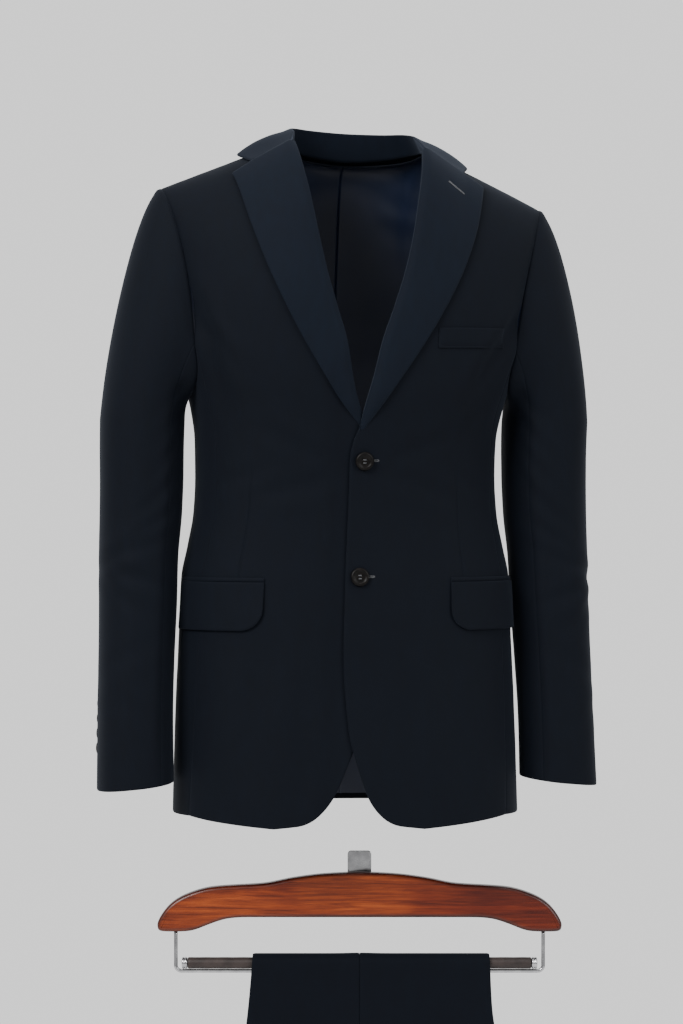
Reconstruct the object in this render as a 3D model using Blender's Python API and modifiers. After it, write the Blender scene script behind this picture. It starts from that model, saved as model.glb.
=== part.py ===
# Two-piece suit: a worn jacket, and trousers folded over a wooden hanger.
# Metres, +Z up. The jacket's front faces -Y and the wearer's left is +X.
# z = 0 is the neck end of the shoulder seams, and the axis runs down the middle of the body.
from collections import namedtuple
from math import asin, copysign, cos, pi, radians, sin

import bmesh
import bpy
from mathutils import Matrix, Vector

CLOTH = 0.0020            # wall of the jacket's cloth
SEAM = 0.0006             # half-open seam on the outer face, about 0.3 mm inside
BODY_ROUNDNESS = 2.4      # superellipse power of the body's level sections
ARCH_ROUNDNESS = 2.2      # power of the arches that run up over the shoulder

# shoulder line
NECK_X, TIP_X, TIP_Z, SHOULDER_Y = 0.080, 0.2096, -0.056, 0.010
BACK_NECK_Y, BACK_NECK_Z = 0.074, -0.010
NECK_SHARE, BACK_NARROWING = 0.40, 2.2   # the neck's part of the back's width, and how late it narrows

# levels where the level sections end and the arches begin
FRONT_CHEST, BACK_CHEST = -0.225, -0.190
HEM_FRONT, HEM_SIDE, HEM_BACK = -0.735, -0.7256, -0.728
HEM_CROWDING = 1.6        # rows gather toward the rounded hem corner
FRONT_SEAM, BACK_SEAM = radians(62), radians(112)
UNDERARM_DIP = 0.062
BODY_BEND, ARM_BEND = 0.10, 0.046   # radii that turn a seam's width into an angle

Section = namedtuple("Section", "z half_width front back")
SECTIONS = [
    Section(-0.740, 0.1895, 0.125, 0.130),
    Section(-0.620, 0.1860, 0.119, 0.128),
    Section(-0.530, 0.1820, 0.115, 0.122),
    Section(-0.470, 0.1795, 0.112, 0.113),
    Section(-0.437, 0.1730, 0.110, 0.106),
    Section(-0.400, 0.1665, 0.109, 0.100),
    Section(-0.360, 0.1645, 0.110, 0.098),
    Section(-0.320, 0.1655, 0.115, 0.101),
    Section(-0.290, 0.1705, 0.120, 0.106),
    Section(-0.262, 0.1785, 0.124, 0.112),
    Section(-0.225, 0.1900, 0.126, 0.118),
    Section(-0.190, 0.1960, 0.125, 0.120),
]

# how far the front edge stands from the middle, negative past it
Edge = namedtuple("Edge", "z x")
FRONT_EDGE = [
    Edge(-0.7350, 0.0800), Edge(-0.7310, 0.0500), Edge(-0.7210, 0.0330), Edge(-0.7050, 0.0200),
    Edge(-0.6880, 0.0120), Edge(-0.6630, 0.0030), Edge(-0.6400, -0.0040), Edge(-0.6100, -0.0090),
    Edge(-0.5700, -0.0135), Edge(-0.5300, -0.0150), Edge(-0.3450, -0.0150), Edge(-0.3250, -0.0110),
    Edge(-0.3000, 0.0020), Edge(-0.2600, 0.0155), Edge(-0.2160, 0.0250), Edge(-0.1800, 0.0365),
    Edge(-0.1450, 0.0470), Edge(-0.1000, 0.0575), Edge(-0.0600, 0.0665), Edge(-0.0370, 0.0720),
    Edge(0.0000, 0.0800),
]
ROLL_LINE = [
    Edge(-0.3120, -0.0050), Edge(-0.3000, 0.0000), Edge(-0.2600, 0.0115), Edge(-0.2160, 0.0210),
    Edge(-0.1800, 0.0325), Edge(-0.1450, 0.0430), Edge(-0.1000, 0.0530), Edge(-0.0600, 0.0600),
    Edge(-0.0370, 0.0640), Edge(-0.0100, 0.0680),
]
LAPEL_EDGE = [
    Edge(-0.3120, 0.0010), Edge(-0.2900, 0.0180), Edge(-0.2550, 0.0418), Edge(-0.2167, 0.0657),
    Edge(-0.1780, 0.0870), Edge(-0.1375, 0.1060), Edge(-0.0935, 0.1220), Edge(-0.0570, 0.1320),
    Edge(-0.0440, 0.1360),
]
ARMHOLE_FRONT = [
    Edge(-0.2250, 0.1740), Edge(-0.2000, 0.1765), Edge(-0.1670, 0.1810), Edge(-0.1400, 0.1860),
    Edge(-0.0950, 0.1970), Edge(-0.0660, 0.2060), Edge(-0.0560, 0.2096),
]
LAP_DEPTH = 0.0034        # how far the under front lies behind the upper one
GORGE_IN, NOTCH = Edge(-0.010, 0.068), Edge(-0.029, 0.114)
GORGE_LIFT, LAPEL_LIFT, LAPEL_BELLY = 0.0125, 0.0042, 0.0014
LAPEL_FOOT, UNDER_LAPEL_FOOT = -0.300, -0.292
# reach and depth of the lapel's turn round the roll line, from its fold back to its inner edge
ROLL_TURN = [(-0.0010, 0.0016), (-0.0014, -0.0028), (0.0028, -0.0058), (0.0105, -0.0060)]

# the wearer's small lean: the turn and shift of each level, and the fall to the left shoulder
Pose = namedtuple("Pose", "z turn shift fall")
POSES = [
    Pose(-0.740, -6.0, 0.000, 0.000), Pose(-0.600, -2.5, 0.000, 0.000),
    Pose(-0.470, 0.0, 0.000, 0.000), Pose(-0.345, 2.5, 0.000, 0.000),
    Pose(-0.270, 0.0, 0.002, 0.012), Pose(-0.100, 0.0, 0.007, 0.041),
    Pose(0.030, 0.0, 0.009, 0.041),
]

# sleeves: level rings of the arm below the armhole
Ring = namedtuple("Ring", "z middle_x middle_y half_x half_y")
ARM_RINGS = [
    Ring(-0.6940, 0.2320, -0.030, 0.0415, 0.0500), Ring(-0.6200, 0.2315, -0.021, 0.0410, 0.0520),
    Ring(-0.5600, 0.2300, -0.013, 0.0412, 0.0545), Ring(-0.5000, 0.2280, -0.006, 0.0420, 0.0570),
    Ring(-0.4500, 0.2268, -0.001, 0.0428, 0.0585), Ring(-0.4000, 0.2240, 0.002, 0.0450, 0.0600),
    Ring(-0.3600, 0.2232, 0.003, 0.0458, 0.0615), Ring(-0.3000, 0.2233, 0.004, 0.0463, 0.0635),
]
BICEPS_Z, CUFF_Z, CUFF_TILT = -0.300, -0.694, 0.0045
SLEEVE_ROUNDNESS = 2.2
HEAD_REACH, HEAD_SWELL, ARMHOLE_GAP, TILT_FROM = 0.005, 0.0178, 0.0010, -0.60
FRONT_SLEEVE_SEAM = radians(125)
BACK_SLEEVE_SEAM_TOP, BACK_SLEEVE_SEAM_CUFF = radians(-75), radians(-40)

# collar, one half: stand foot, top of the roll and leaf edge, from the middle back to the side
CollarRow = namedtuple("CollarRow", "foot top edge")
COLLAR = [
    CollarRow((0.000, 0.0685, -0.008), (0.000, 0.0600, 0.022), (0.000, 0.1005, -0.024)),
    CollarRow((0.042, 0.0600, -0.0045), (0.038, 0.0530, 0.022), (0.064, 0.0885, -0.0185)),
    CollarRow((0.067, 0.0380, -0.001), (0.060, 0.0340, 0.021), (0.101, 0.0540, -0.0135)),
    CollarRow((0.077, 0.0120, -0.001), (0.068, 0.0100, 0.017), (0.119, 0.0210, -0.0115)),
    CollarRow((0.075, -0.0100, -0.004), (0.067, -0.0120, 0.012), (0.128, -0.0020, -0.0150)),
]
COLLAR_STEPS = 3          # strips between two rows of the table
COLLAR_SWELL, COLLAR_CROWN, COLLAR_ROLL, COLLAR_GAP = 0.004, 0.005, 0.0016, 0.0012

# pockets
FLAP_TOP, FLAP_HEIGHT, FLAP_START, FLAP_TURN_END = -0.4745, 0.0515, 0.100, radians(83)
FLAP_CORNER, FLAP_LENGTH, JET_HEIGHT = 0.022, 0.125, 0.005
FLAP_LIFT, FLAP_FLARE = 0.0030, 0.0008
WELT_TOP, WELT_HEIGHT, WELT_START, WELT_END = -0.2025, 0.022, 0.0800, 0.158
WELT_SLANT, WELT_CLEAR = 0.004, 0.0035
POCKET_LIFT, POCKET_WALL, FLAP_WALL = 0.0020, 0.0014, 0.0018

# buttons
FRONT_BUTTON_RADIUS, CUFF_BUTTON_RADIUS, BUTTON_HEIGHT = 0.0100, 0.0074, 0.34
FrontButton = namedtuple("FrontButton", "name z shank")
FRONT_BUTTONS = [
    FrontButton("front_button_upper", -0.346, 0.0020), FrontButton("front_button_lower", -0.469, 0.0004),
]
CUFF_BUTTON_PITCH, CUFF_BUTTON_FIRST, CUFF_BUTTON_LEAD = 0.0152, 0.040, radians(13)
CUFF_SHANK = 0.0007

# hanger, in its own frame: turned to face squarely, its middle beside the jacket's axis
HANGER_TURN, HANGER_SHIFT, HANGER_Y = radians(-8), 0.0158, -0.026
WOOD_THICKNESS, WOOD_EDGE = 0.018, 0.003
WIRE_X, WIRE_RADIUS, WIRE_CORNER, WOOD_FOOT_Z = 0.200, 0.0021, 0.0060, -0.8563
BAR_Z, BAR_RADIUS, BAR_HALF, CAP_LENGTH = -0.8910, 0.00625, 0.1870, 0.0060
BRACKET_SIZE, BRACKET_TOP_Z = (0.026, 0.004, 0.064), -0.770
TOUCH = 0.0003
Outline = namedtuple("Outline", "x z")
WOOD_TOP = [
    Outline(0.000, -0.7917), Outline(0.039, -0.7937), Outline(0.073, -0.7980),
    Outline(0.104, -0.8040), Outline(0.145, -0.8065), Outline(0.1616, -0.8080),
    Outline(0.189, -0.8160), Outline(0.207, -0.8270), Outline(0.217, -0.8400),
]
WOOD_END = [
    Outline(0.2203, -0.8480), Outline(0.2190, -0.8545), Outline(0.2140, -0.8563),
    Outline(0.1830, -0.8563),
]
WOOD_UNDER = [
    Outline(0.163, -0.8480), Outline(0.143, -0.8420), Outline(0.125, -0.8407),
    Outline(0.000, -0.8407),
]

# trousers: the leg's outline, x from the outseam, along its length from the waist
LegRow = namedtuple("LegRow", "along front back")
LEG_ROWS = [
    LegRow(0.000, -0.200, 0.215), LegRow(0.042, -0.203, 0.222), LegRow(0.100, -0.208, 0.240),
    LegRow(0.160, -0.213, 0.254), LegRow(0.210, -0.208, 0.250), LegRow(0.250, -0.180, 0.215),
    LegRow(0.290, -0.146, 0.172), LegRow(0.340, -0.128, 0.153), LegRow(0.390, -0.121, 0.144),
    LegRow(0.450, -0.116, 0.141), LegRow(0.600, -0.108, 0.127), LegRow(1.040, -0.088, 0.100),
]
WAISTBAND, FOLD_AT = 0.042, 0.450
BAR_GAP, LEG_WALL, INNER_WALL = 0.0003, 0.0010, 0.0014
WAIST_WALL, LOOP_WALL, LOOP_WIDTH, LOOP_RUN = 0.0018, 0.0012, 0.010, 0.052
WAIST_LIFT, INNER_START, INNER_INSET = 0.0008, 0.006, 0.0012
LOOP_PLACES = (-0.115, 0.012, 0.135)
LEG_STOPS = (0.0426, 0.075, 0.11, 0.15, 0.19, 0.22, 0.25, 0.275, 0.30, 0.34, 0.385, 0.43)
LEG_STOPS_BEHIND = (0.470, 0.52, 0.60, 0.72, 0.86, 1.040)


# ---------- small tools ----------

def mix(start, end, share):
    return start + (end - start) * share


def along(rows, column, key):
    # smooth value of one column between the rows; it never overshoots them
    keys = [row[0] for row in rows]
    values = [getattr(row, column) for row in rows]
    if key <= keys[0]:
        return values[0]
    if key >= keys[-1]:
        return values[-1]
    steps = [(values[i + 1] - values[i]) / (keys[i + 1] - keys[i]) for i in range(len(keys) - 1)]
    slopes = [steps[0]]
    for before, after in zip(steps, steps[1:]):
        slopes.append(2 * before * after / (before + after) if before * after > 0 else 0.0)
    slopes.append(steps[-1])
    i = max(k for k in range(len(keys) - 1) if keys[k] <= key)
    width = keys[i + 1] - keys[i]
    t = (key - keys[i]) / width
    return ((2 * t ** 3 - 3 * t ** 2 + 1) * values[i] + (t ** 3 - 2 * t ** 2 + t) * width * slopes[i]
            + (3 * t ** 2 - 2 * t ** 3) * values[i + 1] + (t ** 3 - t ** 2) * width * slopes[i + 1])


def signed_power(value, power):
    return copysign(abs(value) ** power, value)


def material(name, colour, roughness, metallic=0.0):
    made = bpy.data.materials.new(name)
    made.use_nodes = True
    shader = made.node_tree.nodes["Principled BSDF"]
    shader.inputs["Base Color"].default_value = (*colour, 1)
    shader.inputs["Roughness"].default_value = roughness
    shader.inputs["Metallic"].default_value = metallic
    return made


def place_mesh(name, mesh, look, collection):
    made = bpy.data.objects.new(name, mesh)
    mesh.materials.clear()
    mesh.materials.append(look)
    collection.objects.link(made)
    return made


def sheet(name, grid, wall, look, collection, closed=False):
    # a grid of points, row by row, becomes a wall whose outer face is the grid
    mesh = bpy.data.meshes.new(name)
    columns = len(grid[0])
    wrap = columns if closed else columns - 1
    faces = []
    for row in range(len(grid) - 1):
        for column in range(wrap):
            after = (column + 1) % columns
            faces.append((row * columns + column, row * columns + after,
                          (row + 1) * columns + after, (row + 1) * columns + column))
    mesh.from_pydata([tuple(point) for row in grid for point in row], [], faces)
    mesh.shade_smooth()
    made = place_mesh(name, mesh, look, collection)
    thick = made.modifiers.new("wall", "SOLIDIFY")
    thick.thickness = wall
    thick.offset = -1
    thick.use_even_offset = False
    return made


# ---------- the body's surface, for the wearer's left side ----------

def on_section(z, turn):
    # turn 0 is the middle of the front and a half turn is the middle of the back
    face = -cos(turn)
    depth = along(SECTIONS, "front" if face < 0 else "back", z)
    power = 2 / BODY_ROUNDNESS
    return Vector((signed_power(sin(turn), power) * along(SECTIONS, "half_width", z),
                   signed_power(face, power) * depth, z))


def turn_of(x, z):
    share = max(-1.0, min(1.0, x / along(SECTIONS, "half_width", z)))
    return asin(signed_power(share, BODY_ROUNDNESS / 2))


def front_seam_turn(z):
    # the seam under the arm drifts forward as it nears the armhole
    top = turn_of(along(ARMHOLE_FRONT, "x", FRONT_CHEST), FRONT_CHEST)
    share = max(0.0, (z - HEM_SIDE) / (FRONT_CHEST - HEM_SIDE))
    return mix(FRONT_SEAM, top, share ** 1.9)


def front_low(across, up):
    z_in = mix(HEM_FRONT, FRONT_CHEST, up ** HEM_CROWDING)
    z_out = mix(HEM_SIDE, FRONT_CHEST, up ** HEM_CROWDING)
    turn_in = turn_of(along(FRONT_EDGE, "x", z_in), z_in)
    return on_section(mix(z_in, z_out, across), mix(turn_in, front_seam_turn(z_out), across))


def arch(rise):
    # sine-like rise and cosine-like run of a rounded quarter arch
    return sin(rise * pi / 2) ** (2 / ARCH_ROUNDNESS), cos(rise * pi / 2) ** (2 / ARCH_ROUNDNESS)


def front_arch(share, lift, run):
    z_in = mix(FRONT_CHEST, 0, lift)
    z_out = mix(FRONT_CHEST, TIP_Z, lift)
    x = mix(along(FRONT_EDGE, "x", z_in), along(ARMHOLE_FRONT, "x", z_out), share)
    x_low = mix(along(FRONT_EDGE, "x", FRONT_CHEST), along(ARMHOLE_FRONT, "x", FRONT_CHEST), share)
    y_low = on_section(FRONT_CHEST, turn_of(x_low, FRONT_CHEST)).y
    return Vector((x, mix(SHOULDER_Y, y_low, run), mix(z_in, z_out, share)))


def front_high(across, rise):
    low = front_low(across, 1)
    x_in = along(FRONT_EDGE, "x", FRONT_CHEST)
    x_out = along(ARMHOLE_FRONT, "x", FRONT_CHEST)
    return front_arch((low.x - x_in) / (x_out - x_in), *arch(rise))


def on_front(x, z):
    # the point of the front's outer face at a given x and height
    if z <= FRONT_CHEST:
        return on_section(z, turn_of(x, z))
    low, high = -0.9, 1.1
    for _ in range(26):
        share = (low + high) / 2
        lift = min(1.0, (z - FRONT_CHEST) / (mix(0, TIP_Z, share) - FRONT_CHEST))
        run = cos(asin(lift ** (ARCH_ROUNDNESS / 2))) ** (2 / ARCH_ROUNDNESS)
        point = front_arch(share, lift, run)
        low, high = (share, high) if point.x < x else (low, share)
    return Vector((x, point.y, z))


def lifted(x, z, lift, sink=0.0):
    # a point of the front moved out along the surface's normal
    reach = 0.002
    here = on_front(x, z)
    side = on_front(x + reach, z) - on_front(x - reach, z)
    rise = on_front(x, z) - on_front(x, z - reach)
    normal = side.cross(rise).normalized()
    here += normal * lift
    here.y += sink
    return here


def back_point(across, rise):
    # across 0 is the middle of the back, 1 the side seam or the armhole
    low = on_section(BACK_CHEST, mix(pi, BACK_SEAM, across))
    out = on_section(BACK_CHEST, BACK_SEAM).x
    share = low.x / out
    lift, run = arch(rise)
    if share < NECK_SHARE:
        x_top = share / NECK_SHARE * NECK_X
        bend = (1 - (x_top / NECK_X) ** 2) ** 0.5
        top = Vector((x_top, mix(SHOULDER_Y, BACK_NECK_Y, bend), mix(0, BACK_NECK_Z, bend)))
    else:
        reach = (share - NECK_SHARE) / (1 - NECK_SHARE)
        top = Vector((mix(NECK_X, TIP_X, reach), SHOULDER_Y, TIP_Z * reach))
    x = mix(low.x, top.x, lift ** BACK_NARROWING)
    return Vector((x, mix(top.y, low.y, run), mix(BACK_CHEST, top.z, lift)))


def posed(point, side, turns=True):
    # mirror to the wearer's side, then the small lean and turn of the whole jacket
    x, y, z = point.x * side, point.y, point.z
    turn = radians(along(POSES, "turn", z)) if turns else 0.0
    x, y = x * cos(turn) - y * sin(turn), x * sin(turn) + y * cos(turn)
    fall = along(POSES, "fall", z) * max(-0.22, min(0.22, x))
    return Vector((x + along(POSES, "shift", z), y, z - fall))


def ease(share):
    share = max(0.0, min(1.0, share))
    return share * share * (3 - 2 * share)


def underlap(x, z, side):
    # below the lapels the right front sinks under the left one near the middle
    if side > 0:
        return 0.0
    return LAP_DEPTH * ease((0.040 - x) / 0.022) * ease((-0.220 - z) / 0.060)


def grid_of(columns, rows, place, side, turns=True):
    # rows of posed points; columns are run the other way on the mirrored side
    order = columns if side > 0 else columns[::-1]
    return [[posed(place(column, row), side, turns) for column in order] for row in rows]


def steps(count, start=0.0, end=1.0):
    return [mix(start, end, i / count) for i in range(count + 1)]


# ---------- jacket panels ----------

def front_panel(side, name, look, collection):
    low_rows, high_rows = steps(15), steps(8)[1:]

    def place(across, row):
        kind, value = row
        point = front_low(across, value) if kind == "low" else front_high(across, value)
        if kind == "high" and value == 1:
            point.y -= SEAM
        if across == 1:
            point -= Vector((SEAM, 0, 0)) if kind == "high" else Vector((SEAM / 2, -SEAM / 2, 0))
        point.y += underlap(point.x, point.z, side)
        return point

    rows = [("low", value) for value in low_rows] + [("high", value) for value in high_rows]
    sheet(name, grid_of(steps(8), rows, place, side), CLOTH, look, collection)


def side_panel(side, name, look, collection):
    def place(across, up):
        ends = mix(FRONT_CHEST, BACK_CHEST, across)
        top = ends - UNDERARM_DIP * (1 - (2 * across - 1) ** 2) ** 0.5
        z = mix(mix(HEM_SIDE, HEM_BACK, across), top, up ** HEM_CROWDING)
        gap = SEAM / BODY_BEND
        return on_section(z, mix(front_seam_turn(z) + gap, BACK_SEAM - gap, across))

    columns = [0.5 - cos(pi * i / 7) / 2 for i in range(8)]
    sheet(name, grid_of(columns, steps(15), place, side), CLOTH, look, collection)


def back_panel(side, name, look, collection):
    def place(across, row):
        kind, value = row
        if kind == "low":
            z = mix(HEM_BACK, BACK_CHEST, value ** HEM_CROWDING)
            point = on_section(z, mix(pi, BACK_SEAM, across))
        else:
            point = back_point(across, value)
            if value == 1:
                point.y += SEAM
        if across == 0:
            point.x += SEAM / 2
        if across == 1:
            point -= Vector((SEAM, 0, 0)) if kind == "high" else Vector((SEAM / 2, -SEAM / 2, 0))
        return point

    rows = [("low", value) for value in steps(15)] + [("high", value) for value in steps(8)[1:]]
    columns = steps(9)[::-1]
    sheet(name, grid_of(columns, rows, place, side), CLOTH, look, collection)


def lapel(side, name, look, collection):
    bottom = LAPEL_FOOT if side > 0 else UNDER_LAPEL_FOOT
    top_in, top_out = GORGE_IN.z, LAPEL_EDGE[-1].z

    def place(across, up):
        z_in, z_out = mix(bottom, top_in, up), mix(bottom, top_out, up)
        x_in, x_out = along(ROLL_LINE, "x", z_in), along(LAPEL_EDGE, "x", z_out)
        lift = mix(LAPEL_LIFT, GORGE_LIFT, ease((z_in + 0.16) / 0.15))
        if across < 0:
            stand = lift - LAPEL_LIFT
            reach, depth = ROLL_TURN[int(-across) - 1]
            short = along(FRONT_EDGE, "x", z_in) - x_in - 0.0015
            reach = min(reach, mix(reach, short, min(1.0, stand / 0.001)))
            sink = underlap(x_in + reach, z_in, side)
            return lifted(x_in + reach, z_in, depth + stand, sink)
        x, z = mix(x_in + 0.0022, x_out, across), mix(z_in, z_out, across)
        if up == 1:
            notch = (NOTCH.x - GORGE_IN.x) / (along(LAPEL_EDGE, "x", top_out) - GORGE_IN.x)
            z = mix(top_in, NOTCH.z, across / notch) if across < notch else \
                mix(NOTCH.z, top_out, (across - notch) / (1 - notch))
            z -= SEAM
        height = mix(lift, LAPEL_LIFT, min(1.0, across * 1.4))
        height += LAPEL_BELLY * sin(pi * across) * (1 - up ** 6)
        return lifted(x, z, height, underlap(x, z, side))

    columns = [-4, -3, -2, -1] + steps(6)
    sheet(name, grid_of(columns, steps(13), place, side), CLOTH, look, collection)


def gorge_point(share, raise_by):
    x, z = mix(GORGE_IN.x, NOTCH.x, share), mix(GORGE_IN.z, NOTCH.z, share)
    point = lifted(x, z, mix(GORGE_LIFT, LAPEL_LIFT, share ** 0.8))
    return point + Vector((0, COLLAR_GAP, raise_by))


def collar_rows():
    # foot, top and edge of each section from the middle back to the gorge
    ends = [tuple(Vector(part) for part in row) for row in COLLAR]
    top = gorge_point(0, COLLAR_ROLL)
    foot = top + Vector((0.007, 0.007, -0.009))
    ends.append((foot, top, gorge_point(1, COLLAR_ROLL)))
    rows = []
    for i in range(len(ends) - 1):
        before = ends[i - 1] if i else tuple(Vector((-v.x, v.y, v.z)) for v in ends[1])
        after = ends[i + 2] if i + 2 < len(ends) else tuple(2 * b - a for a, b in zip(ends[i], ends[i + 1]))
        for step in range(COLLAR_STEPS):
            t = step / COLLAR_STEPS
            row = []
            for a, b, c, d in zip(before, ends[i], ends[i + 1], after):
                row.append(0.5 * (2 * b + (c - a) * t + (2 * a - 5 * b + 4 * c - d) * t * t
                                  + (3 * b - a - 3 * c + d) * t ** 3))
            rows.append(row)
    rows.append(list(ends[-1]))
    return rows


def collar_section(foot, top, edge):
    # up the stand, round the roll and down the leaf
    leaf = edge - top
    belly = Vector((leaf.x, leaf.y, 0)).normalized() * COLLAR_SWELL + Vector((0, 0, COLLAR_CROWN))
    points = [foot, foot.lerp(top, 0.45), foot.lerp(top, 0.86)]
    points.append(top + Vector((0, 0, COLLAR_ROLL)))
    for share in (0.14, 0.36, 0.62, 0.84):
        points.append(top + leaf * share + belly * (4 * share * (1 - share)) * 0.8)
    points.append(edge)
    return points


def collar(name, look, collection):
    half = [collar_section(*row) for row in collar_rows()]
    grid = [[posed(point, -1) for point in section] for section in reversed(half)]
    grid += [[posed(point, 1) for point in section] for section in half[1:]]
    sheet(name, [row[::-1] for row in grid], CLOTH, look, collection)


# ---------- sleeves ----------

def armhole_path(side_of_hole):
    # from the shoulder tip down to the underarm, along the front or the back
    points = []
    if side_of_hole == "front":
        points += [front_high(1, 1 - i / 14) for i in range(15)]
        shares = [i / 12 * 0.5 for i in range(1, 13)]
    else:
        points += [back_point(1, 1 - i / 14) for i in range(15)]
        shares = [1 - i / 12 * 0.5 for i in range(1, 13)]
    turn = turn_of(along(ARMHOLE_FRONT, "x", FRONT_CHEST), FRONT_CHEST)
    for share in shares:
        z = mix(FRONT_CHEST, BACK_CHEST, share) - UNDERARM_DIP * (1 - (2 * share - 1) ** 2) ** 0.5
        points.append(on_section(z, mix(turn, BACK_SEAM, share)))
    return points


def at_length(points, share):
    spans = [(b - a).length for a, b in zip(points, points[1:])]
    left = max(0.0, min(1.0, share)) * sum(spans)
    for start, end, span in zip(points, points[1:], spans):
        if left <= span:
            return start.lerp(end, left / span)
        left -= span
    return points[-1].copy()


ARMHOLE = {face: armhole_path(face) for face in ("front", "back")}


def armhole_point(turn):
    # turn 0 is the shoulder tip, a quarter turn the front, a half turn the underarm
    turn = (turn + pi) % (2 * pi) - pi
    point = at_length(ARMHOLE["front" if turn >= 0 else "back"], abs(turn) / pi)
    return point + Vector((ARMHOLE_GAP, 0, 0))


def arm_point(z, turn):
    power = 2 / SLEEVE_ROUNDNESS
    x = along(ARM_RINGS, "middle_x", z) + along(ARM_RINGS, "half_x", z) * signed_power(cos(turn), power)
    y = along(ARM_RINGS, "middle_y", z) - along(ARM_RINGS, "half_y", z) * signed_power(sin(turn), power)
    near_cuff = max(0.0, min(1.0, (TILT_FROM - z) / (TILT_FROM - CUFF_Z)))
    return Vector((x, y, z - CUFF_TILT * cos(turn) * near_cuff))


def cap_point(share, turn):
    # a curve from the armhole out over the sleeve head and down to the biceps ring
    outward = (1 + cos(turn)) / 2
    start, end = armhole_point(turn), arm_point(BICEPS_Z, turn)
    reach = HEAD_REACH + HEAD_SWELL * outward ** 0.5
    first = start + Vector((mix(0.5, 1, outward), -0.6 * sin(turn), mix(-1, -0.26, outward))) * reach
    second = end + Vector((-0.0075 * outward, 0, mix(0.012, 0.10, outward)))
    keep = 1 - share
    return start * keep ** 3 + first * 3 * keep ** 2 * share + second * 3 * keep * share ** 2 + end * share ** 3


def back_sleeve_seam(share_down):
    return mix(BACK_SLEEVE_SEAM_TOP, BACK_SLEEVE_SEAM_CUFF, share_down)


def sleeve_part(side, name, upper, look, collection):
    levels = [("cap", i / 7) for i in range(8)] + [("arm", i / 10) for i in range(1, 11)]

    def place(across, level):
        kind, value = level
        z = BICEPS_Z if kind == "cap" else mix(BICEPS_Z, CUFF_Z, value)
        down = max(0.0, (BICEPS_Z - z) / (BICEPS_Z - CUFF_Z))
        gap = SEAM / ARM_BEND
        if upper:
            turn = mix(back_sleeve_seam(down) + gap, FRONT_SLEEVE_SEAM - gap, across)
        else:
            turn = mix(FRONT_SLEEVE_SEAM + gap, back_sleeve_seam(down) + 2 * pi - gap, across)
        return cap_point(value, turn) if kind == "cap" else arm_point(z, turn)

    columns = steps(9) if upper else steps(6)
    grid = grid_of(columns, levels, place, side, turns=False)
    sheet(name, grid, CLOTH, look, collection)


# ---------- pockets and buttons ----------

def on_hip(turn, z, lift):
    # a point of the body's hip surface, moved out
    here = on_section(z, turn)
    ahead = on_section(z, turn + 0.02) - on_section(z, turn - 0.02)
    normal = Vector((-ahead.y, ahead.x, 0)).normalized()
    if normal.x * here.x + normal.y * here.y < 0:
        normal.negate()
    return here + normal * lift


def flap(side, name, look, collection):
    turn_in = turn_of(FLAP_START, FLAP_TOP)

    def place(across, up):
        z_low = FLAP_TOP - FLAP_HEIGHT
        radius = FLAP_CORNER
        run = across * FLAP_LENGTH
        if run < radius:
            z_low += radius - (radius ** 2 - (radius - run) ** 2) ** 0.5
        z = mix(z_low, FLAP_TOP - SEAM, up)
        return on_hip(mix(turn_in, FLAP_TURN_END, across), z,
                      FLAP_LIFT + FLAP_FLARE * (1 - up))

    columns = [0, 0.012, 0.04, 0.09, 0.17, 0.34, 0.50, 0.66, 0.82, 1]
    sheet(name, grid_of(columns, steps(3), place, side), FLAP_WALL, look, collection)


def flap_jet(side, name, look, collection):
    turn_in = turn_of(FLAP_START, FLAP_TOP)

    def place(across, up):
        return on_hip(mix(turn_in, FLAP_TURN_END, across), FLAP_TOP + JET_HEIGHT * up, POCKET_LIFT)

    sheet(name, grid_of(steps(8), steps(1), place, side), POCKET_WALL, look, collection)


def breast_welt(name, look, collection):
    def place(across, up):
        z = WELT_TOP - WELT_HEIGHT * (1 - up) + WELT_SLANT * across
        x_start = max(WELT_START, along(LAPEL_EDGE, "x", z) + WELT_CLEAR)
        return lifted(mix(x_start, WELT_END, across), z, POCKET_LIFT)

    sheet(name, grid_of(steps(7), steps(2), place, 1), POCKET_WALL, look, collection)


def button_mesh(name, radius):
    # a turned button: flat back, rounded rim and a shallow dish
    height = radius * BUTTON_HEIGHT
    profile = [(0.0, height * 0.72), (radius * 0.56, height * 0.72), (radius * 0.68, height * 0.94),
               (radius * 0.82, height), (radius * 0.96, height * 0.78), (radius, height * 0.42),
               (radius * 0.92, height * 0.08), (radius * 0.80, 0.0), (0.0, 0.0)]
    mesh = bpy.data.meshes.new(name)
    edges = [(i, i + 1) for i in range(len(profile) - 1)]
    mesh.from_pydata([(x, 0, z) for x, z in profile], edges, [])
    return mesh


def button(name, mesh, centre, facing, look, collection):
    made = place_mesh(name, mesh, look, collection)
    turned = made.modifiers.new("turned", "SCREW")
    turned.steps = turned.render_steps = 14
    turned.use_merge_vertices = True
    turned.merge_threshold = 0.00001
    turned.use_normal_calculate = True
    made.rotation_euler = facing.to_track_quat("Z", "Y").to_euler()
    made.location = centre
    return made


def surface_frame(place, reach=0.02):
    # posed point and outward normal of a surface given by two steps
    here, ahead, above = place(0, 0), place(reach, 0), place(0, reach)
    return here, (ahead - here).cross(above - here).normalized()


def front_buttons(look, collection):
    mesh = button_mesh("front_button", FRONT_BUTTON_RADIUS)
    for row in FRONT_BUTTONS:
        here, out = surface_frame(lambda run, up: posed(on_section(row.z + up, run), 1))
        button(row.name, mesh, here + out * row.shank, out, look, collection)


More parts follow.
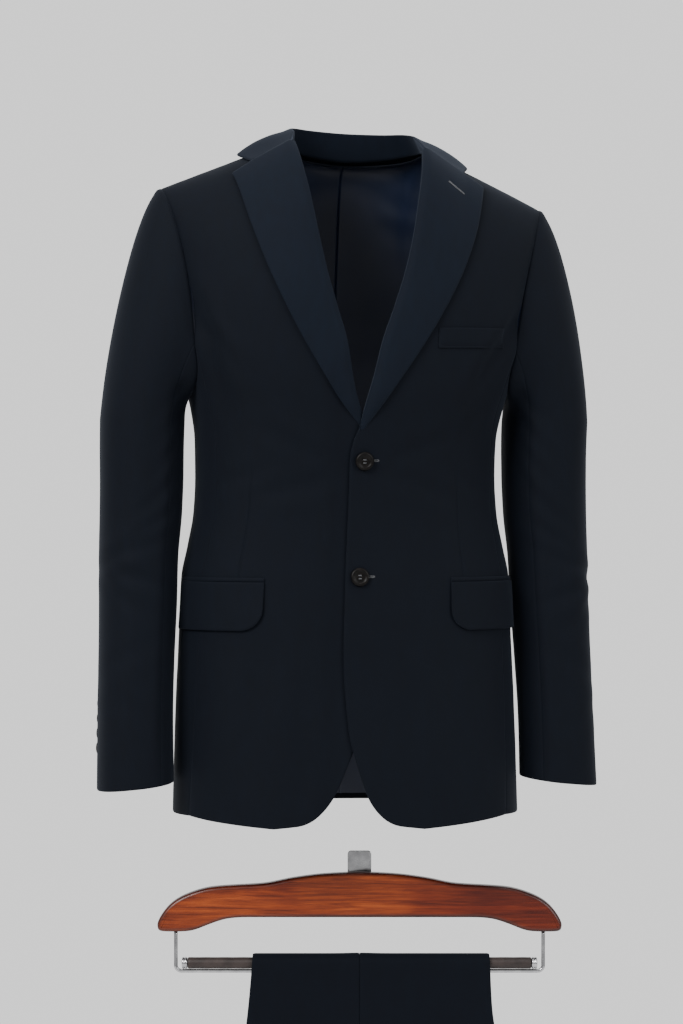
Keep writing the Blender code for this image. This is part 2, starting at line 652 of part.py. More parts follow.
def cuff_buttons(side, word, look, collection):
    mesh = button_mesh(f"{word}_cuff_button", CUFF_BUTTON_RADIUS)
    for i in range(4):
        z = CUFF_Z + CUFF_BUTTON_FIRST + i * CUFF_BUTTON_PITCH
        down = (BICEPS_Z - z) / (BICEPS_Z - CUFF_Z)
        turn = back_sleeve_seam(down) + CUFF_BUTTON_LEAD
        here, out = surface_frame(lambda run, up: posed(arm_point(z + up, turn + run * 4), side, False))
        out = out if out.x * side > 0 else -out
        button(f"{word}_cuff_button_{i + 1}", mesh, here + out * CUFF_SHANK, out, look, collection)


# ---------- hanger and trousers, in the hanger's own frame ----------

def hanger_place(point):
    spot = Vector((point[0] + HANGER_SHIFT, point[1] + HANGER_Y, point[2]))
    return Matrix.Rotation(HANGER_TURN, 3, "Z") @ spot


def seat_in_hanger(made):
    made.matrix_world = Matrix.Rotation(HANGER_TURN, 4, "Z") @ \
        Matrix.Translation((HANGER_SHIFT, HANGER_Y, 0)) @ made.matrix_world


def wood_outline():
    half = []
    for points in (WOOD_TOP, WOOD_UNDER):
        spline = sorted(points)
        count = 16 if points is WOOD_TOP else 9
        first, last = spline[0].x, spline[-1].x
        run = [(mix(first, last, i / count), along(spline, "z", mix(first, last, i / count)))
               for i in range(count + 1)]
        half.append(run)
    right = half[0] + [tuple(point) for point in WOOD_END] + half[1][::-1]
    left = [(-x, z) for x, z in reversed(right) if x > 0]
    return right + left


def hanger_wood(look, collection):
    mesh = bpy.data.meshes.new("hanger_wood")
    build = bmesh.new()
    ring = [build.verts.new((x, -WOOD_THICKNESS / 2, z)) for x, z in wood_outline()]
    face = build.faces.new(ring)
    grown = bmesh.ops.extrude_face_region(build, geom=[face])
    moved = [item for item in grown["geom"] if isinstance(item, bmesh.types.BMVert)]
    bmesh.ops.translate(build, verts=moved, vec=(0, WOOD_THICKNESS, 0))
    bmesh.ops.recalc_face_normals(build, faces=build.faces)
    build.to_mesh(mesh)
    build.free()
    made = place_mesh("hanger_wood", mesh, look, collection)
    soft = made.modifiers.new("edge", "BEVEL")
    soft.width = WOOD_EDGE
    soft.segments = 2
    soft.angle_limit = radians(40)
    seat_in_hanger(made)


def hanger_wire(look, collection):
    # down from the wood, round the corner, under the bar and up again
    low = BAR_Z - BAR_RADIUS - TOUCH - WIRE_RADIUS
    corner = [(WIRE_X - WIRE_CORNER * (1 - cos(a)), low + WIRE_CORNER * (1 - sin(a)))
              for a in (pi / 2 * i / 5 for i in range(6))]
    right = [(WIRE_X, WOOD_FOOT_Z - TOUCH)] + corner
    route = right + [(-x, z) for x, z in reversed(right)]
    curve = bpy.data.curves.new("hanger_wire", "CURVE")
    curve.dimensions = "3D"
    line = curve.splines.new("POLY")
    line.points.add(len(route) - 1)
    for spot, (x, z) in zip(line.points, route):
        spot.co = (x, 0, z, 1)
    curve.bevel_depth = WIRE_RADIUS
    curve.bevel_resolution = 2
    curve.use_fill_caps = True
    curve.materials.append(look)
    made = bpy.data.objects.new("hanger_wire", curve)
    collection.objects.link(made)
    seat_in_hanger(made)


def rod(name, length, radius, middle_x, look, collection):
    mesh = bpy.data.meshes.new(name)
    build = bmesh.new()
    bmesh.ops.create_cone(build, cap_ends=True, segments=24, radius1=radius, radius2=radius, depth=length)
    build.to_mesh(mesh)
    build.free()
    made = place_mesh(name, mesh, look, collection)
    made.matrix_world = Matrix.Translation((middle_x, 0, BAR_Z)) @ Matrix.Rotation(pi / 2, 4, "Y")
    seat_in_hanger(made)


def hanger_bracket(look, collection):
    mesh = bpy.data.meshes.new("hanger_bracket")
    build = bmesh.new()
    bmesh.ops.create_cube(build, size=1, matrix=Matrix.Diagonal((*BRACKET_SIZE, 1)))
    build.to_mesh(mesh)
    build.free()
    made = place_mesh("hanger_bracket", mesh, look, collection)
    middle_y = WOOD_THICKNESS / 2 + TOUCH + BRACKET_SIZE[1] / 2
    made.location = (0, middle_y, BRACKET_TOP_Z - BRACKET_SIZE[2] / 2)
    bpy.context.view_layer.update()
    seat_in_hanger(made)


def draped(x, length, radius):
    # a point of the folded leg: length from the waist, radius of its layer over the bar
    middle = BAR_RADIUS + BAR_GAP + LEG_WALL + INNER_WALL / 2 + 0.0003
    run = FOLD_AT - length
    arc = middle * pi / 2
    if abs(run) <= arc:
        angle = run / middle
        return hanger_place((x, -radius * sin(angle), BAR_Z + radius * cos(angle)))
    return hanger_place((x, copysign(radius, -run), BAR_Z - (abs(run) - arc)))


def leg_lengths():
    arc = (BAR_RADIUS + 0.002) * pi / 2
    return list(LEG_STOPS) + steps(6, FOLD_AT - arc, FOLD_AT + arc) + list(LEG_STOPS_BEHIND)


def leg_panel(name, edge, radius, wall, look, collection):
    def across(length):
        outer = along(LEG_ROWS, edge, length)
        inner = copysign(SEAM / 2, outer)
        return [mix(inner, outer, share) for share in (0, 0.5, 0.94, 1)]

    grid = []
    for length in leg_lengths():
        xs = across(length)
        grid.append([draped(x, length, radius) for x in (xs[::-1] if edge == "front" else xs)])
    sheet(name, grid, wall, look, collection)


def inner_layers(radius, look, collection):
    grid = []
    for length in [INNER_START] + leg_lengths():
        front = along(LEG_ROWS, "front", length) + INNER_INSET
        back = along(LEG_ROWS, "back", length) - INNER_INSET
        grid.append([draped(mix(front, back, share), length, radius) for share in (0, 0.33, 0.66, 1)])
    sheet("leg_inner_layers", grid, INNER_WALL, look, collection)


def waistband(name, radius, wall, look, collection):
    grid = []
    for length in steps(2, 0.0, WAISTBAND):
        front, back = along(LEG_ROWS, "front", 0.02), along(LEG_ROWS, "back", 0.02)
        grid.append([draped(mix(front, back, i / 6), length, radius) for i in range(7)])
    sheet(name, grid, wall, look, collection)


def belt_loops(word, radius, look, collection):
    for i, x in enumerate(LOOP_PLACES):
        grid = []
        for length in steps(3, -0.002, LOOP_RUN):
            grid.append([draped(x + step * LOOP_WIDTH, length, radius) for step in (-0.5, 0.5)])
        sheet(f"{word}_belt_loop_{i + 1}", grid, LOOP_WALL, look, collection)


# ---------- the whole ----------

def clear_scene():
    for old in list(bpy.data.objects):
        bpy.data.objects.remove(old, do_unlink=True)


def build_jacket(cloth, horn, collection):
    for side, word in ((1, "left"), (-1, "right")):
        front_panel(side, f"{word}_front", cloth, collection)
        side_panel(side, f"{word}_side_panel", cloth, collection)
        back_panel(side, f"{word}_back", cloth, collection)
        lapel(side, f"{word}_lapel", cloth, collection)
        sleeve_part(side, f"{word}_top_sleeve", True, cloth, collection)
        sleeve_part(side, f"{word}_under_sleeve", False, cloth, collection)
        flap(side, f"{word}_flap", cloth, collection)
        flap_jet(side, f"{word}_flap_jet", cloth, collection)
        cuff_buttons(side, word, horn, collection)
    collar("collar", cloth, collection)
    breast_welt("breast_welt", cloth, collection)
    front_buttons(horn, collection)


def build_trousers(cloth, horn, collection):
    inner = BAR_RADIUS + BAR_GAP + LEG_WALL
    middle = inner + TOUCH + INNER_WALL
    outer = middle + TOUCH + LEG_WALL
    for edge in ("front", "back"):
        leg_panel(f"left_leg_{edge}", edge, inner, LEG_WALL, cloth, collection)
        leg_panel(f"right_leg_{edge}", edge, outer, LEG_WALL, cloth, collection)
    inner_layers(middle, cloth, collection)
    waistband("left_waistband", inner, LEG_WALL, cloth, collection)
    waistband("right_waistband", outer + WAIST_LIFT, WAIST_WALL, cloth, collection)
    belt_loops("right", outer + WAIST_LIFT + TOUCH + LOOP_WALL, cloth, collection)
    belt_loops("left", inner - LEG_WALL - TOUCH, cloth, collection)


def build_hanger(wood, steel, rubber, collection):
    hanger_wood(wood, collection)
    hanger_wire(steel, collection)
    rod("trouser_bar", 2 * BAR_HALF, BAR_RADIUS, 0, rubber, collection)
    for word, x in (("right", -1), ("left", 1)):
        rod(f"{word}_bar_cap", CAP_LENGTH, BAR_RADIUS, x * (BAR_HALF + TOUCH + CAP_LENGTH / 2), steel,
            collection)
    hanger_bracket(steel, collection)


def main():
    clear_scene()
    collection = bpy.data.collections.new("two_piece_suit")
    bpy.context.scene.collection.children.link(collection)
    cloth = material("navy_worsted", (0.008, 0.011, 0.022), 0.85)
    horn = material("dark_button", (0.020, 0.016, 0.014), 0.35)
    wood = material("mahogany", (0.30, 0.095, 0.028), 0.35)
    steel = material("chrome", (0.62, 0.62, 0.63), 0.18, 1.0)
    rubber = material("bar_sleeve", (0.035, 0.026, 0.024), 0.55)
    build_jacket(cloth, horn, collection)
    build_trousers(cloth, horn, collection)
    build_hanger(wood, steel, rubber, collection)


main()
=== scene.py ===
from bisect import bisect_right
from collections import namedtuple
from math import asin, copysign, cos, exp, pi, radians, sin, tau

import bmesh
import bpy
from mathutils import Matrix, Vector, noise


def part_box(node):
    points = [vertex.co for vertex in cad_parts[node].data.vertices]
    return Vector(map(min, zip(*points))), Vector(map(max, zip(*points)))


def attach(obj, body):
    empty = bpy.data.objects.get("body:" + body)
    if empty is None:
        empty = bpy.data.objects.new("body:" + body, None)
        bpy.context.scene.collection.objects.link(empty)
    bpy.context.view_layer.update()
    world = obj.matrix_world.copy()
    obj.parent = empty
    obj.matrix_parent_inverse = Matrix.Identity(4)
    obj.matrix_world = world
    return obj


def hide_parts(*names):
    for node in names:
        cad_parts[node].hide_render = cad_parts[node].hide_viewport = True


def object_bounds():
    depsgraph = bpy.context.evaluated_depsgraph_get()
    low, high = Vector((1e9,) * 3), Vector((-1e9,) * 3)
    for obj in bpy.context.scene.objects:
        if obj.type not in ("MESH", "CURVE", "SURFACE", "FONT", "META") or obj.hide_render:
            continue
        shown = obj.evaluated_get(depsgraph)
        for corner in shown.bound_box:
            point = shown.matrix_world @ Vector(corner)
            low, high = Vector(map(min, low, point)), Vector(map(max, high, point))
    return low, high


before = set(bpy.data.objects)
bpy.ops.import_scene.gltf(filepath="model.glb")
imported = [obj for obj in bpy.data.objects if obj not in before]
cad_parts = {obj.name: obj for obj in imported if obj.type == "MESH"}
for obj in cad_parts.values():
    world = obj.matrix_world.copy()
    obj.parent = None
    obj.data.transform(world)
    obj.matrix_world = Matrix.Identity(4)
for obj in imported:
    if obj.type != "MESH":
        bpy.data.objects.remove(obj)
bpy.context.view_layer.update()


# ---------- small tools ----------

def mix(start, end, share):
    return start + (end - start) * share


def ease(share):
    share = max(0.0, min(1.0, share))
    return share * share * (3 - 2 * share)


def steps(count, start=0.0, end=1.0):
    return [mix(start, end, i / count) for i in range(count + 1)]


def signedPower(value, power):
    return copysign(abs(value) ** power, value)


class Smooth:
    # smooth value between table rows; it never overshoots them
    def __init__(self, keys, values):
        self.keys, self.values = keys, values
        runs = [(values[i + 1] - values[i]) / (keys[i + 1] - keys[i]) for i in range(len(keys) - 1)]
        self.slopes = [runs[0]]
        for before, after in zip(runs, runs[1:]):
            self.slopes.append(2 * before * after / (before + after) if before * after > 0 else 0.0)
        self.slopes.append(runs[-1])

    def __call__(self, key):
        keys, values, slopes = self.keys, self.values, self.slopes
        if key <= keys[0]:
            return values[0]
        if key >= keys[-1]:
            return values[-1]
        i = bisect_right(keys, key) - 1
        width = keys[i + 1] - keys[i]
        t = (key - keys[i]) / width
        return ((2 * t ** 3 - 3 * t ** 2 + 1) * values[i] + (t ** 3 - 2 * t ** 2 + t) * width * slopes[i]
                + (3 * t ** 2 - 2 * t ** 3) * values[i + 1] + (t ** 3 - t ** 2) * width * slopes[i + 1])


def columnsOf(rows):
    # one smooth curve for each column after the first
    keys = [row[0] for row in rows]
    return [Smooth(keys, [row[i] for row in rows]) for i in range(1, len(rows[0]))]


# ---------- the body's surface, for the wearer's left side ----------

jacketCloth = {
    "wall": 0.0020, "seamGap": -0.0002,
    "seamRoll": (0.0005, 0.0030), "foldedEdge": (0.0007, 0.0018),  # depth and reach of a border's roll
}
clothWall, seamGap, seamRoll, foldedEdge = jacketCloth.values()
torso = {
    "roundness": 2.4, "archRoundness": 2.2, "bend": 0.10, "lapDepth": 0.0034,
    "neckX": 0.080, "tipX": 0.2096, "tipZ": -0.056, "shoulderY": 0.010,
    "backNeckY": 0.074, "backNeckZ": -0.010, "neckShare": 0.40, "backNarrowing": 2.2,
    "frontChest": -0.225, "backChest": -0.190, "underarmDip": 0.062,
    "hemFront": -0.735, "hemSide": -0.7256, "hemBack": -0.728, "hemCrowding": 1.6,
    "frontSeam": radians(62), "backSeam": radians(112), "frontSeamDrift": 1.9,
}

# height, half width, depth of the front and of the back
halfWidth, frontDepth, backDepth = columnsOf([
    (-0.740, 0.1895, 0.125, 0.130), (-0.620, 0.1860, 0.119, 0.128), (-0.530, 0.1820, 0.115, 0.122),
    (-0.470, 0.1795, 0.112, 0.113), (-0.437, 0.1730, 0.110, 0.106), (-0.400, 0.1665, 0.109, 0.100),
    (-0.360, 0.1645, 0.110, 0.098), (-0.320, 0.1655, 0.115, 0.101), (-0.290, 0.1705, 0.120, 0.106),
    (-0.262, 0.1785, 0.124, 0.112), (-0.225, 0.1900, 0.126, 0.118), (-0.190, 0.1960, 0.125, 0.120),
])
# height and distance from the middle, negative past it
[frontEdge] = columnsOf([
    (-0.7350, 0.0800), (-0.7310, 0.0500), (-0.7210, 0.0330), (-0.7050, 0.0200), (-0.6880, 0.0120),
    (-0.6630, 0.0030), (-0.6400, -0.0040), (-0.6100, -0.0090), (-0.5700, -0.0135), (-0.5300, -0.0150),
    (-0.3450, -0.0150), (-0.3250, -0.0110), (-0.3000, 0.0020), (-0.2600, 0.0155), (-0.2160, 0.0250),
    (-0.1800, 0.0365), (-0.1450, 0.0470), (-0.1000, 0.0575), (-0.0600, 0.0665), (-0.0370, 0.0720),
    (0.0000, 0.0800),
])
[rollLine] = columnsOf([
    (-0.3120, -0.0050), (-0.3000, 0.0000), (-0.2600, 0.0115), (-0.2160, 0.0210), (-0.1800, 0.0325),
    (-0.1450, 0.0430), (-0.1000, 0.0530), (-0.0600, 0.0600), (-0.0370, 0.0640), (-0.0100, 0.0680),
])
[lapelEdge] = columnsOf([
    (-0.3120, 0.0010), (-0.2900, 0.0180), (-0.2550, 0.0418), (-0.2167, 0.0657), (-0.1780, 0.0870),
    (-0.1375, 0.1060), (-0.0935, 0.1220), (-0.0570, 0.1320), (-0.0440, 0.1360),
])
[armholeFront] = columnsOf([
    (-0.2250, 0.1740), (-0.2000, 0.1765), (-0.1670, 0.1810), (-0.1400, 0.1860), (-0.0950, 0.1970),
    (-0.0660, 0.2060), (-0.0560, 0.2096),
])
# the small lean: height, turn in degrees, shift, and the fall to the left shoulder
poseTurn, poseShift, poseFall = columnsOf([
    (-0.740, -6.0, 0.000, 0.000), (-0.600, -2.5, 0.000, 0.000), (-0.470, 0.0, 0.000, 0.000),
    (-0.345, 2.5, 0.000, 0.000), (-0.270, 0.0, 0.002, 0.012), (-0.100, 0.0, 0.007, 0.041),
    (0.030, 0.0, 0.009, 0.041),
])
# level rings of the arm: height, middle, half sizes
ringX, ringY, ringHalfX, ringHalfY = columnsOf([
    (-0.6940, 0.2320, -0.030, 0.0415, 0.0500), (-0.6200, 0.2315, -0.021, 0.0410, 0.0520),
    (-0.5600, 0.2300, -0.013, 0.0412, 0.0545), (-0.5000, 0.2280, -0.006, 0.0420, 0.0570),
    (-0.4500, 0.2268, -0.001, 0.0428, 0.0585), (-0.4000, 0.2240, 0.002, 0.0450, 0.0600),
    (-0.3600, 0.2232, 0.003, 0.0458, 0.0615), (-0.3000, 0.2233, 0.004, 0.0463, 0.0635),
])


def onSection(z, turn):
    # turn 0 is the middle of the front and a half turn the middle of the back
    face = -cos(turn)
    depth = frontDepth(z) if face < 0 else backDepth(z)
    power = 2 / torso["roundness"]
    return Vector((signedPower(sin(turn), power) * halfWidth(z), signedPower(face, power) * depth, z))


def turnOf(x, z):
    share = max(-1.0, min(1.0, x / halfWidth(z)))
    return asin(signedPower(share, torso["roundness"] / 2))


frontSeamTop = turnOf(armholeFront(torso["frontChest"]), torso["frontChest"])


def frontSeamTurn(z):
    # the seam under the arm drifts forward as it nears the armhole
    share = max(0.0, (z - torso["hemSide"]) / (torso["frontChest"] - torso["hemSide"]))
    return mix(torso["frontSeam"], frontSeamTop, share ** torso["frontSeamDrift"])


def frontLow(across, up):
    zIn = mix(torso["hemFront"], torso["frontChest"], up ** torso["hemCrowding"])
    zOut = mix(torso["hemSide"], torso["frontChest"], up ** torso["hemCrowding"])
    turnIn = turnOf(frontEdge(zIn), zIn)
    return onSection(mix(zIn, zOut, across), mix(turnIn, frontSeamTurn(zOut), across))


def arch(rise):
    # sine-like rise and cosine-like run of a rounded quarter arch
    power = 2 / torso["archRoundness"]
    return sin(rise * pi / 2) ** power, max(0.0, cos(rise * pi / 2)) ** power


chestIn, chestOut = frontEdge(torso["frontChest"]), armholeFront(torso["frontChest"])


def frontArch(share, lift, run):
    zIn, zOut = mix(torso["frontChest"], 0, lift), mix(torso["frontChest"], torso["tipZ"], lift)
    x = mix(frontEdge(zIn), armholeFront(zOut), share)
    xLow = mix(chestIn, chestOut, share)
    yLow = onSection(torso["frontChest"], turnOf(xLow, torso["frontChest"])).y
    return Vector((x, mix(torso["shoulderY"], yLow, run), mix(zIn, zOut, share)))


def frontHigh(across, rise):
    low = frontLow(across, 1)
    return frontArch((low.x - chestIn) / (chestOut - chestIn), *arch(rise))


def onFront(x, z):
    # the point of the front's outer face at a given x and height
    if z <= torso["frontChest"]:
        return onSection(z, turnOf(x, z))
    low, high = -0.9, 1.1
    for _ in range(22):
        share = (low + high) / 2
        lift = min(1.0, (z - torso["frontChest"]) / (mix(0, torso["tipZ"], share) - torso["frontChest"]))
        run = cos(asin(lift ** (torso["archRoundness"] / 2))) ** (2 / torso["archRoundness"])
        point = frontArch(share, lift, run)
        low, high = (share, high) if point.x < x else (low, share)
    return Vector((x, point.y, z))


def lifted(x, z, lift, sink=0.0):
    # a point of the front moved out along the surface's normal
    reach = 0.002
    here = onFront(x, z)
    side = onFront(x + reach, z) - here
    rise = here - onFront(x, z - reach)
    here = here + side.cross(rise).normalized() * lift
    here.y += sink
    return here


def backPoint(across, rise):
    # across 0 is the middle of the back, 1 the side seam or the armhole
    low = onSection(torso["backChest"], mix(pi, torso["backSeam"], across))
    share = low.x / onSection(torso["backChest"], torso["backSeam"]).x
    lift, run = arch(rise)
    neckShare = torso["neckShare"]
    if share < neckShare:
        xTop = share / neckShare * torso["neckX"]
        bend = max(0.0, 1 - (xTop / torso["neckX"]) ** 2) ** 0.5
        top = Vector((xTop, mix(torso["shoulderY"], torso["backNeckY"], bend), torso["backNeckZ"] * bend))
    else:
        reach = (share - neckShare) / (1 - neckShare)
        top = Vector((mix(torso["neckX"], torso["tipX"], reach), torso["shoulderY"], torso["tipZ"] * reach))
    x = mix(low.x, top.x, lift ** torso["backNarrowing"])
    return Vector((x, mix(top.y, low.y, run), mix(torso["backChest"], top.z, lift)))


def posed(point, side, turns=True):
    # mirror to the wearer's side, then the small lean and turn of the whole jacket
    x, y, z = point.x * side, point.y, point.z
    turn = radians(poseTurn(z)) if turns else 0.0
    x, y = x * cos(turn) - y * sin(turn), x * sin(turn) + y * cos(turn)
    fall = poseFall(z) * max(-0.22, min(0.22, x))
    return Vector((x + poseShift(z), y, z - fall))


def underlap(x, z, side):
    # below the lapels the right front sinks under the left one near the middle
    if side > 0:
        return 0.0
    return torso["lapDepth"] * ease((0.040 - x) / 0.022) * ease((-0.220 - z) / 0.060)


# ---------- sleeves ----------

sleeve = {
    "roundness": 2.2, "bend": 0.046, "bicepsZ": -0.300, "cuffZ": -0.694, "cuffTilt": 0.0045,
    "frontSeam": radians(125), "backSeamTop": radians(-75), "backSeamCuff": radians(-40),
    "armholeGap": 0.0007, "headReach": 0.005, "headSwell": 0.0178, "tiltFrom": -0.60,
    "topFlat": (0.25, 0.68), "underFlat": (0.17, 0.62),
}


def armholePath(face):
    # from the shoulder tip down to the underarm, along the front or the back
    if face == "front":
        points = [frontHigh(1, 1 - i / 40) for i in range(41)]
        shares = [i / 80 for i in range(1, 41)]
    else:
        points = [backPoint(1, 1 - i / 40) for i in range(41)]
        shares = [1 - i / 80 for i in range(1, 41)]
    for share in shares:
        dip = torso["underarmDip"] * max(0.0, 1 - (2 * share - 1) ** 2) ** 0.5
        z = mix(torso["frontChest"], torso["backChest"], share) - dip
        points.append(onSection(z, mix(frontSeamTop, torso["backSeam"], share)))
    return points


def atLength(points, share):
    spans = [(b - a).length for a, b in zip(points, points[1:])]
    left = max(0.0, min(1.0, share)) * sum(spans)
    for start, end, span in zip(points, points[1:], spans):
        if left <= span:
            return start.lerp(end, left / span)
        left -= span
    return points[-1].copy()


armhole = {face: armholePath(face) for face in ("front", "back")}


def armholePoint(turn):
    # turn 0 is the shoulder tip, a quarter turn the front, a half turn the underarm
    turn = (turn + pi) % tau - pi
    point = atLength(armhole["front" if turn >= 0 else "back"], abs(turn) / pi)
    return point - Vector((sleeve["armholeGap"], 0, 0))


def armPoint(z, turn):
    power = 2 / sleeve["roundness"]
    x = ringX(z) + ringHalfX(z) * signedPower(cos(turn), power)
    y = ringY(z) - ringHalfY(z) * signedPower(sin(turn), power)
    nearCuff = max(0.0, min(1.0, (sleeve["tiltFrom"] - z) / (sleeve["tiltFrom"] - sleeve["cuffZ"])))
    return Vector((x, y, z - sleeve["cuffTilt"] * cos(turn) * nearCuff))


def capPoint(share, turn):
    # a curve from the armhole out over the sleeve head and down to the biceps ring
    outward = (1 + cos(turn)) / 2
    start, end = armholePoint(turn), armPoint(sleeve["bicepsZ"], turn)
    reach = sleeve["headReach"] + sleeve["headSwell"] * outward ** 0.5
    first = start + Vector((mix(0.5, 1, outward), -0.6 * sin(turn), mix(-1, -0.26, outward))) * reach
    second = end + Vector((-0.0075 * outward, 0, mix(0.012, 0.10, outward)))
    keep = 1 - share
    near = start * keep ** 3 + first * 3 * keep ** 2 * share
    return near + second * 3 * keep * share ** 2 + end * share ** 3


def downArm(z):
    # 0 at the biceps, 1 at the cuff
    return max(0.0, (sleeve["bicepsZ"] - z) / (sleeve["bicepsZ"] - sleeve["cuffZ"]))


def backSleeveSeam(shareDown):
    return mix(sleeve["backSeamTop"], sleeve["backSeamCuff"], shareDown)


# ---------- soft folds and pulls, in the object's own space ----------

Fold = namedtuple("Fold", "start end width depth face")


def taper(share):
    return ease(min(1.0, share / 0.25)) * ease(min(1.0, (1 - share) / 0.35))


def foldHeight(fold, point):
    # a soft trough beside a softer ridge, fading at both ends
    runX, runZ = fold.end[0] - fold.start[0], fold.end[1] - fold.start[1]
    square = runX * runX + runZ * runZ
    dx, dz = point.x - fold.start[0], point.z - fold.start[1]
    share = (dx * runX + dz * runZ) / square
    if share <= 0 or share >= 1:
        return 0.0
    off = (dx * runZ - dz * runX) / square ** 0.5 / fold.width
    if abs(off) > 3.2:
        return 0.0
    off += 0.25 * sin(5.1 * share + fold.start[0] * 40)
    return -fold.depth * taper(share) * (exp(-off * off) - 0.45 * exp(-(abs(off) - 1.7) ** 2))


bodyFolds = [
    # from each armhole down and inward, then the small pulls at the buttoned waist
    Fold((-0.186, -0.135), (-0.132, -0.318), 0.0095, 0.0034, "front"),
    Fold((-0.172, -0.190), (-0.118, -0.262), 0.0070, 0.0014, "front"),
    Fold((0.193, -0.165), (0.118, -0.292), 0.0095, 0.0036, "front"),
    Fold((0.176, -0.226), (0.112, -0.330), 0.0070, 0.0014, "front"),
    Fold((-0.022, -0.350), (-0.116, -0.305), 0.0080, 0.0012, "front"),
    Fold((-0.018, -0.362), (-0.126, -0.384), 0.0090, 0.0013, "front"),
    Fold((0.026, -0.350), (0.112, -0.312), 0.0080, 0.0011, "front"),
    Fold((0.024, -0.362), (0.122, -0.386), 0.0090, 0.0013, "front"),
    Fold((-0.150, -0.372), (-0.086, -0.352), 0.0070, 0.0010, "front"),
    Fold((0.146, -0.378), (0.090, -0.356), 0.0070, 0.0010, "front"),
    Fold((-0.098, -0.520), (-0.118, -0.728), 0.0160, 0.0016, "front"),
    Fold((0.100, -0.530), (0.110, -0.726), 0.0160, 0.0016, "front"),
    Fold((-0.052, -0.560), (-0.060, -0.722), 0.0140, 0.0010, "front"),
    Fold((0.060, -0.560), (0.052, -0.722), 0.0140, 0.0010, "front"),
    # across and down the back
    Fold((-0.168, -0.150), (-0.112, -0.330), 0.0110, 0.0034, "back"),
    Fold((0.172, -0.156), (0.116, -0.334), 0.0110, 0.0034, "back"),
    Fold((-0.140, -0.352), (-0.030, -0.376), 0.0100, 0.0017, "back"),
    Fold((0.142, -0.356), (0.026, -0.390), 0.0100, 0.0017, "back"),
    Fold((-0.104, -0.330), (-0.016, -0.336), 0.0080, 0.0010, "back"),
    Fold((0.104, -0.322), (0.020, -0.346), 0.0080, 0.0010, "back"),
    Fold((-0.092, -0.430), (-0.104, -0.722), 0.0180, 0.0022, "back"),
    Fold((0.094, -0.440), (0.108, -0.722), 0.0180, 0.0022, "back"),
    Fold((-0.040, -0.060), (-0.122, -0.066), 0.0100, 0.0010, "back"),
    Fold((0.042, -0.060), (0.124, -0.074), 0.0100, 0.0010, "back"),
]


def bodyRelief(point):
    front = ease(0.5 - point.y / 0.060)
    total = 0.0
    for fold in bodyFolds:
        weight = front if fold.face == "front" else 1 - front
        if weight > 0.01:
            total += weight * foldHeight(fold, point)
    # slow unevenness of hung cloth, strongest toward the hem
    drop = 0.35 + 0.65 * ease((-0.35 - point.z) / 0.35)
    total += 0.0011 * drop * noise.noise(Vector((point.x * 13, point.y * 13, point.z * 5.5)))
    total += 0.00022 * noise.noise(Vector((point.x * 52 + 7, point.y * 52, point.z * 34)))
    return total


# height, turn and lean of each soft crease round the arm, its width along the arm, its spread, its depth
sleeveCreases = [
    (-0.452, 1.05, 0.016, 0.0085, 0.95, 0.0026), (-0.478, 1.30, -0.012, 0.0080, 0.85, 0.0022),
    (-0.428, 1.45, 0.022, 0.0085, 0.70, 0.0017), (-0.500, 0.95, -0.020, 0.0095, 0.75, 0.0014),
    (-0.390, 1.75, 0.030, 0.0100, 0.60, 0.0015), (-0.340, 2.10, 0.034, 0.0110, 0.55, 0.0017),
    (-0.300, 2.35, 0.030, 0.0110, 0.55, 0.0019), (-0.262, 2.55, 0.026, 0.0100, 0.60, 0.0018),
    (-0.560, 1.20, 0.018, 0.0110, 0.80, 0.0011), (-0.612, 0.90, -0.014, 0.0120, 0.80, 0.0009),
    (-0.315, -1.95, -0.026, 0.0110, 0.60, 0.0018), (-0.375, -1.60, -0.022, 0.0110, 0.65, 0.0014),
    (-0.470, -1.35, 0.014, 0.0100, 0.80, 0.0013), (-0.238, -2.30, -0.030, 0.0110, 0.55, 0.0018),
]


def sleeveRelief(z, turn, side):
    turn = (turn + pi) % tau - pi
    total = 0.0
    for height, at, lean, width, spread, depth in sleeveCreases:
        away = ((turn - at + side * 0.12 + pi) % tau - pi) / spread
        if abs(away) > 2.4:
            continue
        off = (z - height + side * 0.009 - lean * away) / width
        if abs(off) > 3:
            continue
        total -= 0.62 * depth * exp(-away * away) * (exp(-off * off) - 0.5 * exp(-(abs(off) - 1.6) ** 2))
    # the long soft ridge that runs down the inner front of the arm
    ridge = (turn - 2.0 - 0.25 * (z + 0.45)) / 0.16
    total += 0.0016 * exp(-ridge * ridge) * ease((-0.20 - z) / 0.12) * ease((z + 0.70) / 0.10)
    total += 0.0010 * noise.noise(Vector((cos(turn) * 1.6 + side * 3, sin(turn) * 1.6, z * 8)))
    return total


# ---------- cloth shells ----------

def fineSteps(count, span, start=True, end=True):
    # even steps with closer ones beside the chosen borders; span is the real length in metres
    near = [reach / span for reach in (0.0006, 0.0013, 0.0022, 0.0035)]
    values = set(steps(count))
    keep = near[-1] * 1.4
    if start:
        values = {v for v in values if v == 0 or v > keep} | set(near)
    if end:
        values = {v for v in values if v == 1 or v < 1 - keep} | {1 - v for v in near}
    return sorted(values)


def objectOf(name, data):
    made = bpy.data.objects.new(name, data)
    bpy.context.scene.collection.objects.link(made)
    return made


def meshOf(name, build):
    mesh = bpy.data.meshes.new(name)
    build.to_mesh(mesh)
    build.free()
    return mesh


def meshObject(name, mesh, look):
    mesh.materials.clear()
    mesh.materials.append(look)
    mesh.shade_smooth()
    return objectOf(name, mesh)


def settled(made):
    # a plain mesh of the object with its modifiers applied, in place of the object
    bpy.context.view_layer.update()
    ready = bpy.data.meshes.new_from_object(made.evaluated_get(bpy.context.evaluated_depsgraph_get()))
    bpy.data.objects.remove(made, do_unlink=True)
    return ready


